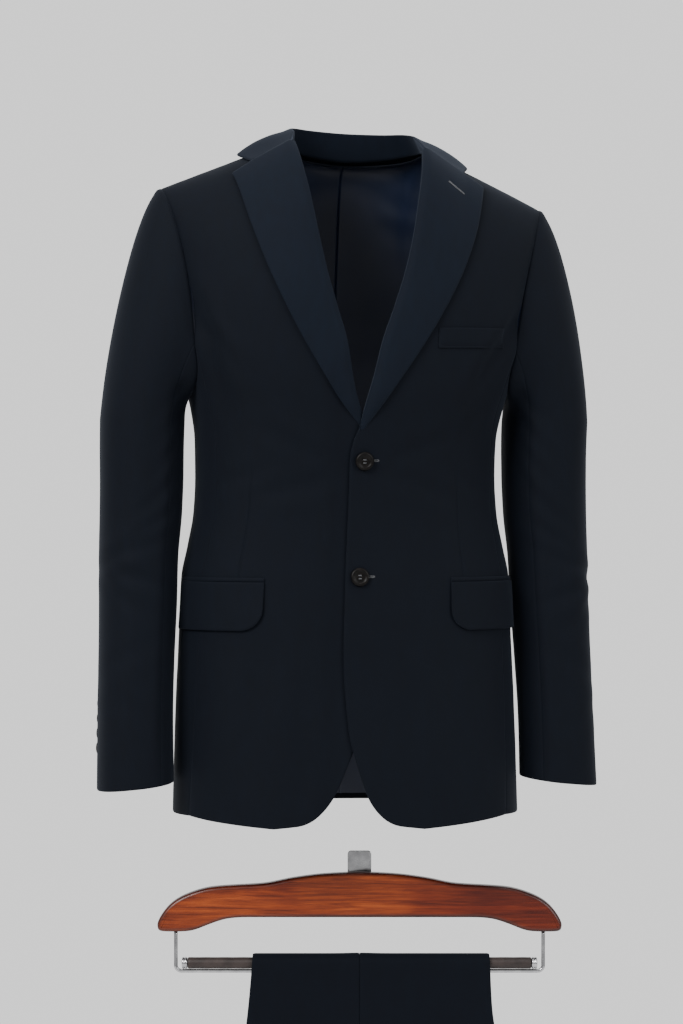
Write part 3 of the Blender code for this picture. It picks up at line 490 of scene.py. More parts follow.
def placed(made, slot, *nodes):
    # rides on the one body and stands for the given nodes, if any
    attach(made, "root")
    if nodes:
        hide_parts(*nodes)
    print("made", made.name, len(made.data.polygons), "faces")
    return made


def runLengths(line):
    total, out = 0.0, [0.0]
    for a, b in zip(line, line[1:]):
        total += (b - a).length
        out.append(total)
    return out


def gridNormals(grid):
    rows, columns = len(grid), len(grid[0])
    out = []
    for i in range(rows):
        line = []
        for j in range(columns):
            across = grid[i][min(columns - 1, j + 1)] - grid[i][max(0, j - 1)]
            up = grid[min(rows - 1, i + 1)][j] - grid[max(0, i - 1)][j]
            normal = across.cross(up)
            if normal.length < 1e-12:
                normal = line[-1].copy() if line else Vector((0, 0, 1))
            line.append(normal.normalized())
        out.append(line)
    return out


def borderSink(toStart, toEnd, start, end):
    # how far a border's roll pulls the cloth in: (depth, reach) at each end
    total = 0.0
    for distance, rule in ((toStart, start), (toEnd, end)):
        if rule and distance < rule[1]:
            total += rule[0] * (1 - distance / rule[1]) ** 2
    return total


def shell(name, grid, wall, looks, relief, borders, liningFrom=None):
    # a closed wall whose outer face is the grid; its UV map is the cloth's own run in metres;
    # borders are the rolls at the left, the right, the low and the high edge
    rows, columns = len(grid), len(grid[0])
    normals = gridNormals(grid)
    left, right, low, high = borders
    across = [runLengths(line) for line in grid]
    up = [runLengths([grid[i][j] for i in range(rows)]) for j in range(columns)]
    middle = columns // 2
    outer, inner, flat = [], [], []
    for i in range(rows):
        for j in range(columns):
            point, normal = grid[i][j], normals[i][j]
            run, rise = across[i][j], up[j][i]
            sink = borderSink(run, across[i][-1] - run, left, right)
            sink += borderSink(rise, up[j][-1] - rise, low, high)
            move = relief(i, j, point) if relief else 0.0
            outer.append(point + normal * (move - sink))
            inner.append(point + normal * (move - wall + sink * 0.3))
            flat.append((run - across[i][middle] + grid[0][middle].x, up[middle][i]))
    count = rows * columns
    faces, kinds = [], []
    for i in range(rows - 1):
        for j in range(columns - 1):
            a, b = i * columns + j, i * columns + j + 1
            c, d = b + columns, a + columns
            faces.append((a, b, c, d))
            kinds.append(0)
            faces.append((a + count, d + count, c + count, b + count))
            kinds.append(1 if liningFrom and liningFrom(i, j) else 0)
    border = [j for j in range(columns)]
    border += [i * columns + columns - 1 for i in range(1, rows)]
    border += [(rows - 1) * columns + j for j in range(columns - 2, -1, -1)]
    border += [i * columns for i in range(rows - 2, 0, -1)]
    for a, b in zip(border, border[1:] + border[:1]):
        faces.append((b, a, a + count, b + count))
        kinds.append(0)
    mesh = bpy.data.meshes.new(name)
    mesh.from_pydata([tuple(p) for p in outer + inner], [], faces)
    for look in looks:
        mesh.materials.append(look)
    mesh.polygons.foreach_set("material_index", kinds)
    layer = mesh.uv_layers.new(name="cloth")
    both = flat + flat
    spots = []
    for loop in mesh.loops:
        spots.extend(both[loop.vertex_index])
    layer.data.foreach_set("uv", spots)
    mesh.shade_smooth()
    mesh.validate()
    return objectOf(name, mesh)


def gridOf(columns, rows, place, side, turns=True):
    # rows of posed points; columns run the other way on the mirrored side
    order = columns if side > 0 else columns[::-1]
    return [[posed(place(column, row), side, turns) for column in order] for row in rows]


def clothPiece(name, node, grid, relief, borders, wall=clothWall, looks=None,
               liningFrom=None):
    # one cloth shell, riding on the body in place of its node
    made = shell(name, grid, wall, looks or [navyCloth, lining], relief, borders, liningFrom)
    placed(made, "navy_worsted", node)


# ---------- materials ----------

class Look:
    # a material and the nodes that feed its shader
    def __init__(self, name, values):
        self.made = bpy.data.materials.new(name)
        self.made.use_nodes = True
        self.nodes, self.links = self.made.node_tree.nodes, self.made.node_tree.links
        self.shader = self.nodes["Principled BSDF"]
        self.place = self.add("TexCoord").outputs["Object"]
        for key, value in values.items():
            self.shader.inputs[key].default_value = value

    def add(self, kind, values=()):
        made = self.nodes.new("ShaderNode" + kind)
        for key, value in dict(values).items():
            made.inputs[key].default_value = value
        return made

    def clothMap(self):
        made = self.add("UVMap")
        made.uv_map = "cloth"
        return made.outputs["UV"]

    def scaled(self, source, scale, turn=0.0):
        made = self.add("Mapping", {"Scale": scale, "Rotation": (0, 0, turn)})
        self.links.new(source, made.inputs["Vector"])
        return made.outputs["Vector"]

    def noise(self, source, scale, detail, roughness=0.5, distortion=0.0):
        # scale is one number, or a number for each axis
        even = isinstance(scale, float)
        made = self.add("TexNoise", {"Scale": scale if even else 1.0, "Detail": detail,
                                     "Roughness": roughness, "Distortion": distortion})
        self.links.new(source if even else self.scaled(source, scale), made.inputs["Vector"])
        return made.outputs[0]

    def wave(self, source, direction, distortion, detailScale=1.0):
        made = self.add("TexWave", {"Scale": 1.0, "Distortion": distortion, "Detail": 1.0,
                                    "Detail Scale": detailScale})
        made.bands_direction = direction
        self.links.new(source, made.inputs["Vector"])
        return made.outputs[1]

    def sum(self, *parts):
        # parts are (output, weight) pairs
        total = None
        for source, weight in parts:
            made = self.add("Math")
            made.operation = "MULTIPLY"
            self.links.new(source, made.inputs[0])
            made.inputs[1].default_value = weight
            if total:
                both = self.add("Math")
                both.operation = "ADD"
                self.links.new(total, both.inputs[0])
                self.links.new(made.outputs[0], both.inputs[1])
                made = both
            total = made.outputs[0]
        return total

    def ramp(self, source, stops):
        made = self.add("ValToRGB")
        while len(made.color_ramp.elements) < len(stops):
            made.color_ramp.elements.new(0.5)
        for element, (at, colour) in zip(made.color_ramp.elements, stops):
            element.position, element.color = at, (*colour, 1)
        self.links.new(source, made.inputs["Fac"])
        return made.outputs["Color"]

    def times(self, first, second):
        made = self.add("Mix")
        made.data_type, made.blend_type = "RGBA", "MULTIPLY"
        made.inputs[0].default_value = 1.0
        self.links.new(first, made.inputs[6])
        self.links.new(second, made.inputs[7])
        return made.outputs[2]

    def ranged(self, source, values):
        made = self.add("MapRange", values)
        self.links.new(source, made.inputs["Value"])
        return made.outputs[0]

    def finish(self, colour, roughFrom, rough, height, strength, depth):
        # colour, roughness range and bump, all into the shader
        self.links.new(colour, self.shader.inputs["Base Color"])
        if isinstance(rough, float):
            self.shader.inputs["Roughness"].default_value = rough
        else:
            spread = self.ranged(roughFrom, {"To Min": rough[0], "To Max": rough[1]})
            self.links.new(spread, self.shader.inputs["Roughness"])
        bump = self.add("Bump", {"Strength": strength, "Distance": depth})
        self.links.new(height, bump.inputs["Height"])
        self.links.new(bump.outputs[0], self.shader.inputs["Normal"])
        return self.made


plain = (1.0, 1.0, 1.0)


def worsted(name, dark, light, sheen=0.03, ribTurn=0.72):
    # fine worsted twill: steep ribs of fine yarn over a faint two-tone melange
    look = Look(name, {"Specular IOR Level": 0.05, "Sheen Weight": sheen, "Sheen Roughness": 0.42,
                       "Sheen Tint": (0.42, 0.50, 0.66, 1)})
    cloth = look.clothMap()
    ribs = look.wave(look.scaled(cloth, (210, 210, 210), ribTurn), "X", 0.6, 1.5)
    weft = look.wave(look.scaled(cloth, (170, 170, 170)), "Y", 0.4)
    yarn = look.noise(cloth, (2600, 520, 1), 3.0, 0.65)
    slow = look.noise(look.place, 7.0, 3.0, 0.55)
    nap = look.noise(look.place, (160, 160, 45), 2.0)
    tone = look.sum((yarn, 0.52), (ribs, 0.30), (nap, 0.18))
    shade = look.ramp(slow, [(0.32, (0.86, 0.87, 0.90)), (0.70, plain)])
    colour = look.times(look.ramp(tone, [(0.28, dark), (0.74, light)]), shade)
    height = look.sum((ribs, 1.0), (weft, 0.4), (yarn, 0.8))
    return look.finish(colour, tone, (0.70, 0.92), height, 0.28, 0.00012)


def satinLining(name, colour):
    look = Look(name, {"Anisotropic": 0.4, "Specular IOR Level": 0.22})
    cloth = look.clothMap()
    soft = look.noise(cloth, (38, 12, 1), 3.0)
    tone = look.sum((look.noise(cloth, (1800, 240, 1), 2.0), 0.5), (soft, 0.5))
    dark = tuple(part * 0.72 for part in colour)
    satin = look.ramp(tone, [(0.30, dark), (0.70, colour)])
    return look.finish(satin, tone, (0.30, 0.48), soft, 0.20, 0.0004)


def thread(name, colour):
    look = Look(name, {"Sheen Weight": 0.2})
    ply = look.noise(look.place, 2400.0, 2.0)
    dark = tuple(part * 0.55 for part in colour)
    return look.finish(look.ramp(ply, [(0.35, dark), (0.65, colour)]), ply, 0.62, ply, 0.3, 0.0001)


def hornLook(name):
    # dark brown-black button with smoky streaks and a soft polish
    look = Look(name, {"Specular IOR Level": 0.055})
    streak = look.noise(look.place, (190, 190, 420), 4.0, 0.6, 1.4)
    fine = look.noise(look.place, 1300.0, 2.0)
    colour = look.ramp(streak, [(0.36, (0.0006, 0.0005, 0.0005)), (0.55, (0.0015, 0.0012, 0.0011)),
                                (0.72, (0.0042, 0.0032, 0.0028))])
    return look.finish(colour, fine, (0.28, 0.48), fine, 0.08, 0.0002)


navyCloth = worsted("navyWorsted", (0.00022, 0.00042, 0.00105), (0.00105, 0.0020, 0.0042))
navyLapel = worsted("navyWorstedLapel", (0.00036, 0.00072, 0.00170), (0.0017, 0.0033, 0.0068), 0.05, -0.72)
navyFelt = worsted("navyUnderCollar", (0.0014, 0.0020, 0.0040), (0.0052, 0.0072, 0.0130), 0.12, 0.2)
lining = satinLining("navyLining", (0.0050, 0.0078, 0.0180))
pocketing = satinLining("charcoalPocketing", (0.0080, 0.0084, 0.0096))
navyThread = thread("navyThread", (0.0045, 0.0060, 0.0098))
horn = hornLook("darkHorn")


# ---------- jacket panels ----------

panels = {
    "frontFlat": (0.26, 0.80), "sideFlat": (0.14, 0.56), "backFlat": (0.24, 0.80), "facing": 0.34,
    "leftDart": 0.590, "rightDart": 0.675, "dartTop": -0.335, "dartLow": -0.4745, "dartDepth": 0.00085,
}


def bodyFace(i, j, point):
    return bodyRelief(point)


def everywhere(i, j):
    return True


def aboveHem(i, j):
    # the lining starts above the turned-up hem
    return i > 9


def frontPanel(side, word):
    lowRows = [("low", v) for v in fineSteps(96, 0.51, True, False)]
    rows = lowRows + [("high", v) for v in fineSteps(48, 0.27, False, True)[1:]]
    dart, width = panels[f"{word}Dart"], 0.17
    beside = [way * v / width for v in (0.0, 0.0009, 0.0018, 0.0030) for way in (-1, 1)]
    columns = [v for v in fineSteps(44, width) if abs(v - dart) > 0.021]
    columns = sorted(set(columns + [dart + v for v in beside]))

    def place(across, row):
        kind, value = row
        point = frontLow(across, value) if kind == "low" else frontHigh(across, value)
        if kind == "high" and value == 1:
            point.y -= seamGap
        if across == 1:
            point -= Vector((seamGap, 0, 0)) if kind == "high" else Vector((seamGap / 2, -seamGap / 2, 0))
        point.y += underlap(point.x, point.z, side)
        return point

    grid = gridOf(columns, rows, place, side)
    last = len(columns) - 1

    def relief(i, j, point):
        total = bodyRelief(point)
        if panels["dartLow"] < point.z < panels["dartTop"]:
            # the dart's sewn line, deepest at the waist
            off = (columns[j if side > 0 else last - j] - dart) * width / 0.0012
            if abs(off) < 4:
                total -= panels["dartDepth"] * exp(-off * off) * ease((panels["dartTop"] - point.z) / 0.05)
        return total

    sides = (foldedEdge, seamRoll) if side > 0 else (seamRoll, foldedEdge)

    def insideLining(i, j):
        inward = j if side > 0 else last - 1 - j
        return columns[inward] > panels["facing"] and aboveHem(i, j)

    clothPiece(f"{word}FrontShell", f"{word}_front", grid,
               relief, (*sides, foldedEdge, seamRoll),
               liningFrom=insideLining)


def sidePanel(side, word):
    columns = [0.5 - cos(pi * i / 26) / 2 for i in range(27)]
    rows = fineSteps(96, 0.45)

    def place(across, up):
        ends = mix(torso["frontChest"], torso["backChest"], across)
        top = ends - torso["underarmDip"] * max(0.0, 1 - (2 * across - 1) ** 2) ** 0.5
        z = mix(mix(torso["hemSide"], torso["hemBack"], across), top, up ** torso["hemCrowding"])
        gap = seamGap / torso["bend"]
        return onSection(z, mix(frontSeamTurn(z) + gap, torso["backSeam"] - gap, across))

    grid = gridOf(columns, rows, place, side)
    clothPiece(f"{word}SideShell", f"{word}_side_panel", grid,
               bodyFace, (seamRoll, seamRoll, foldedEdge, seamRoll), liningFrom=aboveHem)


def backPanel(side, word):
    rows = [("low", v) for v in fineSteps(96, 0.54, True, False)]
    rows += [("high", v) for v in fineSteps(44, 0.25, False, True)[1:]]
    columns = fineSteps(46, 0.19)[::-1]

    def place(across, row):
        kind, value = row
        if kind == "low":
            z = mix(torso["hemBack"], torso["backChest"], value ** torso["hemCrowding"])
            point = onSection(z, mix(pi, torso["backSeam"], across))
        else:
            point = backPoint(across, value)
            if value == 1:
                point.y += seamGap
        if across == 0:
            point.x += seamGap / 2
        if across == 1:
            point -= Vector((seamGap, 0, 0)) if kind == "high" else Vector((seamGap / 2, -seamGap / 2, 0))
        return point

    grid = gridOf(columns, rows, place, side)
    clothPiece(f"{word}BackShell", f"{word}_back", grid,
               bodyFace, (seamRoll, seamRoll, foldedEdge, seamRoll),
               liningFrom=aboveHem)


# ---------- lapels and collar ----------

lapelCut = {
    "wall": 0.0018, "flat": (0.15, 0.34), "bottom": -0.3135, "topOut": -0.044,
    "gorgeIn": (-0.010, 0.068), "notchAt": (-0.029, 0.114),
    "gorgeLift": 0.0125, "lift": 0.0042, "belly": 0.0014,
    "rollTurn": [(-0.0010, 0.0016), (-0.0014, -0.0028), (0.0028, -0.0058), (0.0105, -0.0060)],
    "holeAt": Vector((0.110, 0, -0.051)), "holeTurn": radians(-39), "holeHalf": 0.0115,
}
rollReach = Smooth([0, 1, 2, 3, 4], [0.0022] + [row[0] for row in lapelCut["rollTurn"]])
rollDepth = Smooth([0, 1, 2, 3, 4], [0.0] + [row[1] for row in lapelCut["rollTurn"]])


def lapelGrid(side, columns, rows):
    bottom, topOut = lapelCut["bottom"], lapelCut["topOut"]
    topIn, xGorge = lapelCut["gorgeIn"]
    zNotch, xNotch = lapelCut["notchAt"]
    flatLift, gorgeLift = lapelCut["lift"], lapelCut["gorgeLift"]
    notch = (xNotch - xGorge) / (lapelEdge(topOut) - xGorge)

    def place(across, up):
        zIn, zOut = mix(bottom, topIn, up), mix(bottom, topOut, up)
        xIn, xOut = rollLine(zIn), lapelEdge(zOut)
        lift = mix(flatLift, gorgeLift, ease((zIn + 0.16) / 0.15))
        if across < 0:
            level = lift - flatLift
            reach, depth = rollReach(-across), rollDepth(-across)
            short = frontEdge(zIn) - xIn - 0.0015
            reach = min(reach, mix(reach, short, min(1.0, level / 0.001)))
            sink = underlap(xIn + reach, zIn, side)
            height = mix(lift, depth + level, min(1.0, -across)) - 0.0010 * max(0.0, 1 + across)
            height = mix(-0.0006, height, ease((zIn - bottom) / 0.034))
            return lifted(xIn + reach * ease((zIn - bottom) / 0.020), zIn, height, sink)
        x, z = mix(xIn + 0.0022, xOut, across), mix(zIn, zOut, across)
        if up > 0.93:
            # the top edge breaks at the notch
            broken = mix(topIn, zNotch, across / notch) if across < notch else \
                mix(zNotch, topOut, (across - notch) / (1 - notch))
            z += (broken - seamGap - mix(topIn, topOut, across)) * ((up - 0.93) / 0.07)
        height = mix(lift, flatLift, min(1.0, across * 1.4))
        height += lapelCut["belly"] * sin(pi * across) * (1 - up ** 6)
        height -= 0.0010 * max(0.0, 1 - across * (xOut - xIn) / 0.005) ** 2
        height = mix(0.0006, height, ease((z - bottom) / 0.034))
        return lifted(x, z, height, underlap(x, z, side))

    return gridOf(columns, rows, place, side)


def lapel(side, word):
    rows = fineSteps(78, 0.30)
    columns = [-4, -3.5, -3, -2.5, -2, -1.6, -1.2, -0.8, -0.4] + fineSteps(26, 0.07, False, True)
    grid = lapelGrid(side, columns, rows)

    def relief(i, j, point):
        total = 0.35 * bodyRelief(point)
        total += 0.00035 * noise.noise(Vector((point.x * 30, point.z * 18, 4.0 + side)))
        if side > 0:
            # the cut of the buttonhole, a slit that runs along the gorge
            total -= 0.0008 * inSlit(point)
        return total

    sides = (None, foldedEdge) if side > 0 else (foldedEdge, None)
    clothPiece(f"{word}LapelShell", f"{word}_lapel", grid,
               relief, (*sides, foldedEdge, seamRoll), lapelCut["wall"], [navyLapel, navyCloth])
    return grid


def inSlit(point):
    # 1 along the lapel buttonhole's middle line, falling to nothing beside it
    dx, dz = point.x - lapelCut["holeAt"].x, point.z - lapelCut["holeAt"].z
    turn, half = lapelCut["holeTurn"], lapelCut["holeHalf"]
    run, off = dx * cos(turn) + dz * sin(turn), dz * cos(turn) - dx * sin(turn)
    if abs(run) > half or abs(off) > 0.002:
        return 0.0
    return exp(-(off / 0.0006) ** 2) * ease((half - abs(run)) / 0.002)


collarTable = [
    ((0.000, 0.0685, -0.008), (0.000, 0.0600, 0.022), (0.000, 0.1005, -0.024)),
    ((0.042, 0.0600, -0.0045), (0.038, 0.0530, 0.022), (0.064, 0.0885, -0.0185)),
    ((0.067, 0.0380, -0.001), (0.060, 0.0340, 0.021), (0.101, 0.0540, -0.0135)),
    ((0.077, 0.0120, -0.001), (0.068, 0.0100, 0.017), (0.119, 0.0210, -0.0115)),
    ((0.075, -0.0100, -0.004), (0.067, -0.0120, 0.012), (0.128, -0.0020, -0.0150)),
]


def gorgePoint(share):
    # a point of the gorge seam, where the collar meets the lapel
    (zIn, xIn), (zNotch, xNotch) = lapelCut["gorgeIn"], lapelCut["notchAt"]
    x, z = mix(xIn, xNotch, share), mix(zIn, zNotch, share)
    along = share * (xNotch - xIn) / (lapelEdge(lapelCut["topOut"]) - xIn)
    return lifted(x, z - 0.0005, mix(lapelCut["gorgeLift"], lapelCut["lift"], min(1.0, along * 1.4)) - 0.0002)


def rounded(a, b, c, d, t):
    # the smooth curve through four points, between the middle two
    square, cube = 2 * a - 5 * b + 4 * c - d, 3 * b - a - 3 * c + d
    return 0.5 * (2 * b + (c - a) * t + square * t * t + cube * t ** 3)


def collarRows(between):
    ends = [tuple(Vector(part) for part in row) for row in collarTable]
    top = gorgePoint(0) + Vector((-0.0010, 0.0004, -0.0022))
    ends.append((top + Vector((0.007, 0.007, -0.009)), top, gorgePoint(1)))
    rows = []
    for i in range(len(ends) - 1):
        before = ends[i - 1] if i else tuple(Vector((-v.x, v.y, v.z)) for v in ends[1])
        after = ends[i + 2] if i + 2 < len(ends) else tuple(2 * b - a for a, b in zip(ends[i], ends[i + 1]))
        for step in range(between):
            t = step / between
            rows.append([rounded(a, b, c, d, t) for a, b, c, d in zip(before, ends[i], ends[i + 1], after)])
    rows.append(list(ends[-1]))
    return rows


def collarSection(foot, top, edge, full):
    # up the stand, round the roll and down the leaf, then drawn smooth; full is 0 at the gorge
    leaf = edge - top
    belly = Vector((leaf.x, leaf.y, 0)).normalized() * 0.004 + Vector((0, 0, 0.005))
    belly *= full
    points = [foot, foot.lerp(top, 0.45), foot.lerp(top, 0.86), top + Vector((0, 0, 0.0016 * full))]
    for share in (0.14, 0.36, 0.62, 0.84):
        points.append(top + leaf * share + belly * (4 * share * (1 - share)) * 0.8)
    points.append(edge)
    line = []
    for i in range(len(points) - 1):
        a = points[i - 1] if i else 2 * points[0] - points[1]
        d = points[i + 2] if i + 2 < len(points) else 2 * points[-1] - points[-2]
        line += [rounded(a, points[i], points[i + 1], d, t / 4) for t in range(4)]
    line.append(points[-1])
    line[-1:-1] = [line[-2].lerp(line[-1], 0.6), line[-2].lerp(line[-1], 0.86)]
    return line


def collar():
    rows = collarRows(10)
    half = [collarSection(*row, ease((len(rows) - 1 - i) / 12)) for i, row in enumerate(rows)]
    grid = [[posed(point, -1) for point in section] for section in reversed(half)]
    grid += [[posed(point, 1) for point in section] for section in half[1:]]
    grid = [row[::-1] for row in grid]

    def relief(i, j, point):
        return 0.0004 * noise.noise(Vector((point.x * 22, point.y * 22, point.z * 30)))

    clothPiece("collarShell", "collar", grid,
               relief,
               (foldedEdge, seamRoll, seamRoll, seamRoll), looks=[navyLapel, navyFelt], liningFrom=everywhere)


# ---------- sleeves ----------

def sleevePart(side, word, upper):
    levels = [("cap", v) for v in fineSteps(34, 0.24, True, False)]
    levels += [("arm", v) for v in fineSteps(84, 0.394, False, True)[1:]]
    columns = fineSteps(40, 0.22) if upper else fineSteps(26, 0.14)
    gap = seamGap / sleeve["bend"]

    def heightAt(kind, value):
        return sleeve["bicepsZ"] if kind == "cap" else mix(sleeve["bicepsZ"], sleeve["cuffZ"], value)

    def turnAt(across, z):
        down = downArm(z)
        if upper:
            return mix(backSleeveSeam(down) + gap, sleeve["frontSeam"] - gap, across)
        return mix(sleeve["frontSeam"] + gap, backSleeveSeam(down) + tau - gap, across)

    def place(across, level):
        kind, value = level
        z = heightAt(kind, value)
        turn = turnAt(across, z)
        return capPoint(value, turn) if kind == "cap" else armPoint(z, turn)

    grid = gridOf(columns, levels, place, side, turns=False)
    order = columns if side > 0 else columns[::-1]

    def relief(i, j, point):
        kind, value = levels[i]
        turn = turnAt(order[j], heightAt(kind, value))
        total = sleeveRelief(point.z, turn, side) * (ease(value * 1.6) if kind == "cap" else 1.0)
        if kind == "cap":
            # the sleeve head stands a little proud of its seam
            head = (1 + cos(turn)) / 2
            total += 0.0013 * head * exp(-((value - 0.055) / 0.045) ** 2)
        elif upper and value > 0.70:
            # the lap of the cuff vent beside the back seam
            lap = turn - turnAt(0.0, heightAt(kind, value))
            total += 0.0004 * ease((0.10 - lap) / 0.03) * ease((value - 0.70) / 0.02)
        return total

    kind = "Top" if upper else "Under"
    clothPiece(f"{word}{kind}SleeveShell", f"{word}_{kind.lower()}_sleeve", grid,
               relief,
               (seamRoll, seamRoll, (0.0009, 0.0040), foldedEdge),
               liningFrom=lambda i, j: i < len(levels) - 14)


# ---------- pockets ----------

pocket = {
    "flapTop": -0.4745, "flapHeight": 0.0515, "flapStart": 0.100, "flapTurnEnd": radians(83),
    "flapCorner": 0.022, "flapLength": 0.125, "jetHeight": 0.005, "lift": 0.0020, "wall": 0.0014,
}
welt = {"top": -0.2025, "height": 0.022, "start": 0.0800, "end": 0.158, "slant": 0.004}


def onHip(turn, z, lift):
    # a point of the body's hip surface, moved out
    here = onSection(z, turn)
    ahead = onSection(z, turn + 0.02) - onSection(z, turn - 0.02)
    normal = Vector((-ahead.y, ahead.x, 0)).normalized()
    if normal.x * here.x + normal.y * here.y < 0:
        normal.negate()
    return here + normal * lift


def flap(side, word):
    turnIn = turnOf(pocket["flapStart"], pocket["flapTop"])
    # closer together at the rounded front corner
    columns = [0, 0.002, 0.006, 0.012, 0.020, 0.030, 0.042, 0.056, 0.072, 0.09, 0.11, 0.135, 0.165]
    columns += steps(34, 0.19, 0.97) + [0.982, 0.992, 1]

    def place(across, up):
        zLow = pocket["flapTop"] - pocket["flapHeight"]
        run, corner = across * pocket["flapLength"], pocket["flapCorner"]
        if run < corner:
            zLow += corner - max(0.0, corner ** 2 - (corner - run) ** 2) ** 0.5
        z = mix(zLow, pocket["flapTop"] - seamGap, up)
        return onHip(mix(turnIn, pocket["flapTurnEnd"], across), z, 0.0030 + 0.0008 * (1 - up))

    grid = gridOf(columns, fineSteps(18, 0.05), place, side)

    def relief(i, j, point):
        ripple = noise.noise(Vector((point.x * 40, point.y * 40, point.z * 30 + side)))
        return bodyRelief(point) + 0.00045 * ripple

    clothPiece(f"{word}FlapShell", f"{word}_flap", grid,
               relief, [(0.0006, 0.0022)] * 4,
               pocket["wall"] + 0.0004, liningFrom=everywhere)


def flapJet(side, word):
    turnIn = turnOf(pocket["flapStart"], pocket["flapTop"])

    def place(across, up):
        z = pocket["flapTop"] + pocket["jetHeight"] * up
        return onHip(mix(turnIn, pocket["flapTurnEnd"], across), z, pocket["lift"])

    grid = gridOf(fineSteps(40, pocket["flapLength"]), fineSteps(5, 0.02), place, side)

    def relief(i, j, point):
        # the jet is a rolled fold of cloth, fullest along its middle
        up = (point.z - pocket["flapTop"]) / pocket["jetHeight"]
        return bodyRelief(point) + 0.0005 * max(0.0, 1 - (2 * up - 1) ** 2) - 0.0006

    clothPiece(f"{word}JetShell", f"{word}_flap_jet", grid,
               relief, [(0.0004, 0.001)] * 3 + [(0.0005, 0.001)], pocket["wall"], [navyCloth])


def breastWelt():
    def place(across, up):
        z = welt["top"] - welt["height"] * (1 - up) + welt["slant"] * across
        xStart = max(welt["start"], lapelEdge(z) + 0.0035)
        return lifted(mix(xStart, welt["end"], across), z, pocket["lift"])

    grid = gridOf(fineSteps(34, 0.075), fineSteps(12, 0.022), place, 1)
    clothPiece("breastWeltShell", "breast_welt", grid, bodyFace,
               ((0.0017, 0.005), (0.0017, 0.005), (0.0019, 0.009), (0.0004, 0.0018)), pocket["wall"])


# ---------- buttons and thread ----------

button = {
    "frontRadius": 0.0100, "cuffRadius": 0.0074, "thickness": 0.34, "holeAt": 0.165, "holeRadius": 0.095,
    "frontRows": (("front_button_upper", -0.346), ("front_button_lower", -0.469)),
    "cuffCount": 4, "cuffPitch": 0.0152, "cuffFirst": 0.040, "cuffLead": radians(13),
}


def lathe(profile, segments):
    # a closed turned form about Z from (radius, height) pairs that start and end on the axis
    build = bmesh.new()
    rings = []
    for radius, height in profile:
        if radius < 1e-7:
            rings.append([build.verts.new((0, 0, height))])
        else:
            rings.append([build.verts.new((radius * cos(turn), radius * sin(turn), height))
                          for turn in [tau * i / segments for i in range(segments)]])
    for low, high in zip(rings, rings[1:]):
        for i in range(segments):
            after = (i + 1) % segments
            ring = [low[i % len(low)], low[after % len(low)], high[after % len(high)], high[i % len(high)]]
            build.faces.new(list(dict.fromkeys(ring)))
    bmesh.ops.recalc_face_normals(build, faces=build.faces)
    return meshOf("turned", build)


def buttonMesh(radius):
    # a four-hole button: rounded rim, a sunk dish and holes that go through
    height = radius * button["thickness"]
    rim = [(0.0, 0.66), (0.34, 0.67), (0.54, 0.70), (0.61, 0.76), (0.66, 0.90), (0.71, 0.98), (0.78, 1.02),
           (0.85, 0.99), (0.92, 0.88), (0.965, 0.72), (0.99, 0.52), (1.0, 0.40), (0.985, 0.25), (0.94, 0.10),
           (0.86, 0.02), (0.78, 0.0), (0.40, 0.0), (0.0, 0.0)]
    profile = [(radius * out, height * up) for out, up in rim]
    body = meshObject("blank", lathe(profile, 48), horn)
    cutter = bmesh.new()
    for x, y in ((1, 1), (-1, 1), (-1, -1), (1, -1)):
        off = radius * button["holeAt"]
        spot = Matrix.Translation((x * off, y * off, height * 0.4))
        wide = radius * button["holeRadius"]
        bmesh.ops.create_cone(cutter, cap_ends=True, segments=14, radius1=wide, radius2=wide,
                              depth=height * 2.2, matrix=spot)
    tool = meshObject("drill", meshOf("holes", cutter), horn)
    cut = body.modifiers.new("holes", "BOOLEAN")
    cut.operation, cut.solver, cut.object = "DIFFERENCE", "EXACT", tool
    ready = settled(body)
    bpy.data.objects.remove(tool, do_unlink=True)
    return ready


def tube(build, route, radius, sides=8):
    # a round strand along the route, closed at both ends
    rings = []
    for i, point in enumerate(route):
        ahead = (route[min(len(route) - 1, i + 1)] - route[max(0, i - 1)]).normalized()
        first = first - ahead * first.dot(ahead) if rings else ahead.orthogonal()
        first = first.normalized()
        second = ahead.cross(first)
        rings.append([build.verts.new(point + (first * cos(turn) + second * sin(turn)) * radius)
                      for turn in [tau * k / sides for k in range(sides)]])
    for low, high in zip(rings, rings[1:]):
        for k in range(sides):
            build.faces.new((low[k], low[(k + 1) % sides], high[(k + 1) % sides], high[k]))
    build.faces.new(rings[0][::-1])
    build.faces.new(rings[-1])


def buttonThread(build, radius, place):
    # two bars of three strands through the holes
    height, hole = radius * button["thickness"], radius * button["holeAt"]
    for y in (-hole, hole):
        for strand in (-1, 0, 1):
            route = []
            for i in range(9):
                share = i / 8
                x = mix(-hole, hole, share)
                lift = height * (0.70 + 0.16 * sin(pi * share)) - (0.0012 if share in (0, 1) else 0.0)
                route.append(place @ Vector((x, y + strand * radius * 0.036, lift)))
            tube(build, route, radius * 0.022, 6)


def seatedAt(node, out):
    # the button's own frame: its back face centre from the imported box, facing out
    low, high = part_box(node)
    return Matrix.Translation((low + high) / 2) @ out.to_track_quat("Z", "Y").to_matrix().to_4x4()


def joined(name, meshes, look):
    build = bmesh.new()
    for mesh, place in meshes:
        part = mesh.copy()
        part.transform(place)
        build.from_mesh(part)
        bpy.data.meshes.remove(part)
    return meshObject(name, meshOf(name, build), look)


def sewnButtons(name, places, radius, nodes):
    disc = buttonMesh(radius)
    placed(joined(name, [(disc, place) for place in places], horn), "dark_button", *nodes)
    build = bmesh.new()
    for place in places:
        buttonThread(build, radius, place)
    bmesh.ops.recalc_face_normals(build, faces=build.faces)
    placed(meshObject(f"{name}Thread", meshOf(f"{name}Thread", build), navyThread), "navy_worsted")


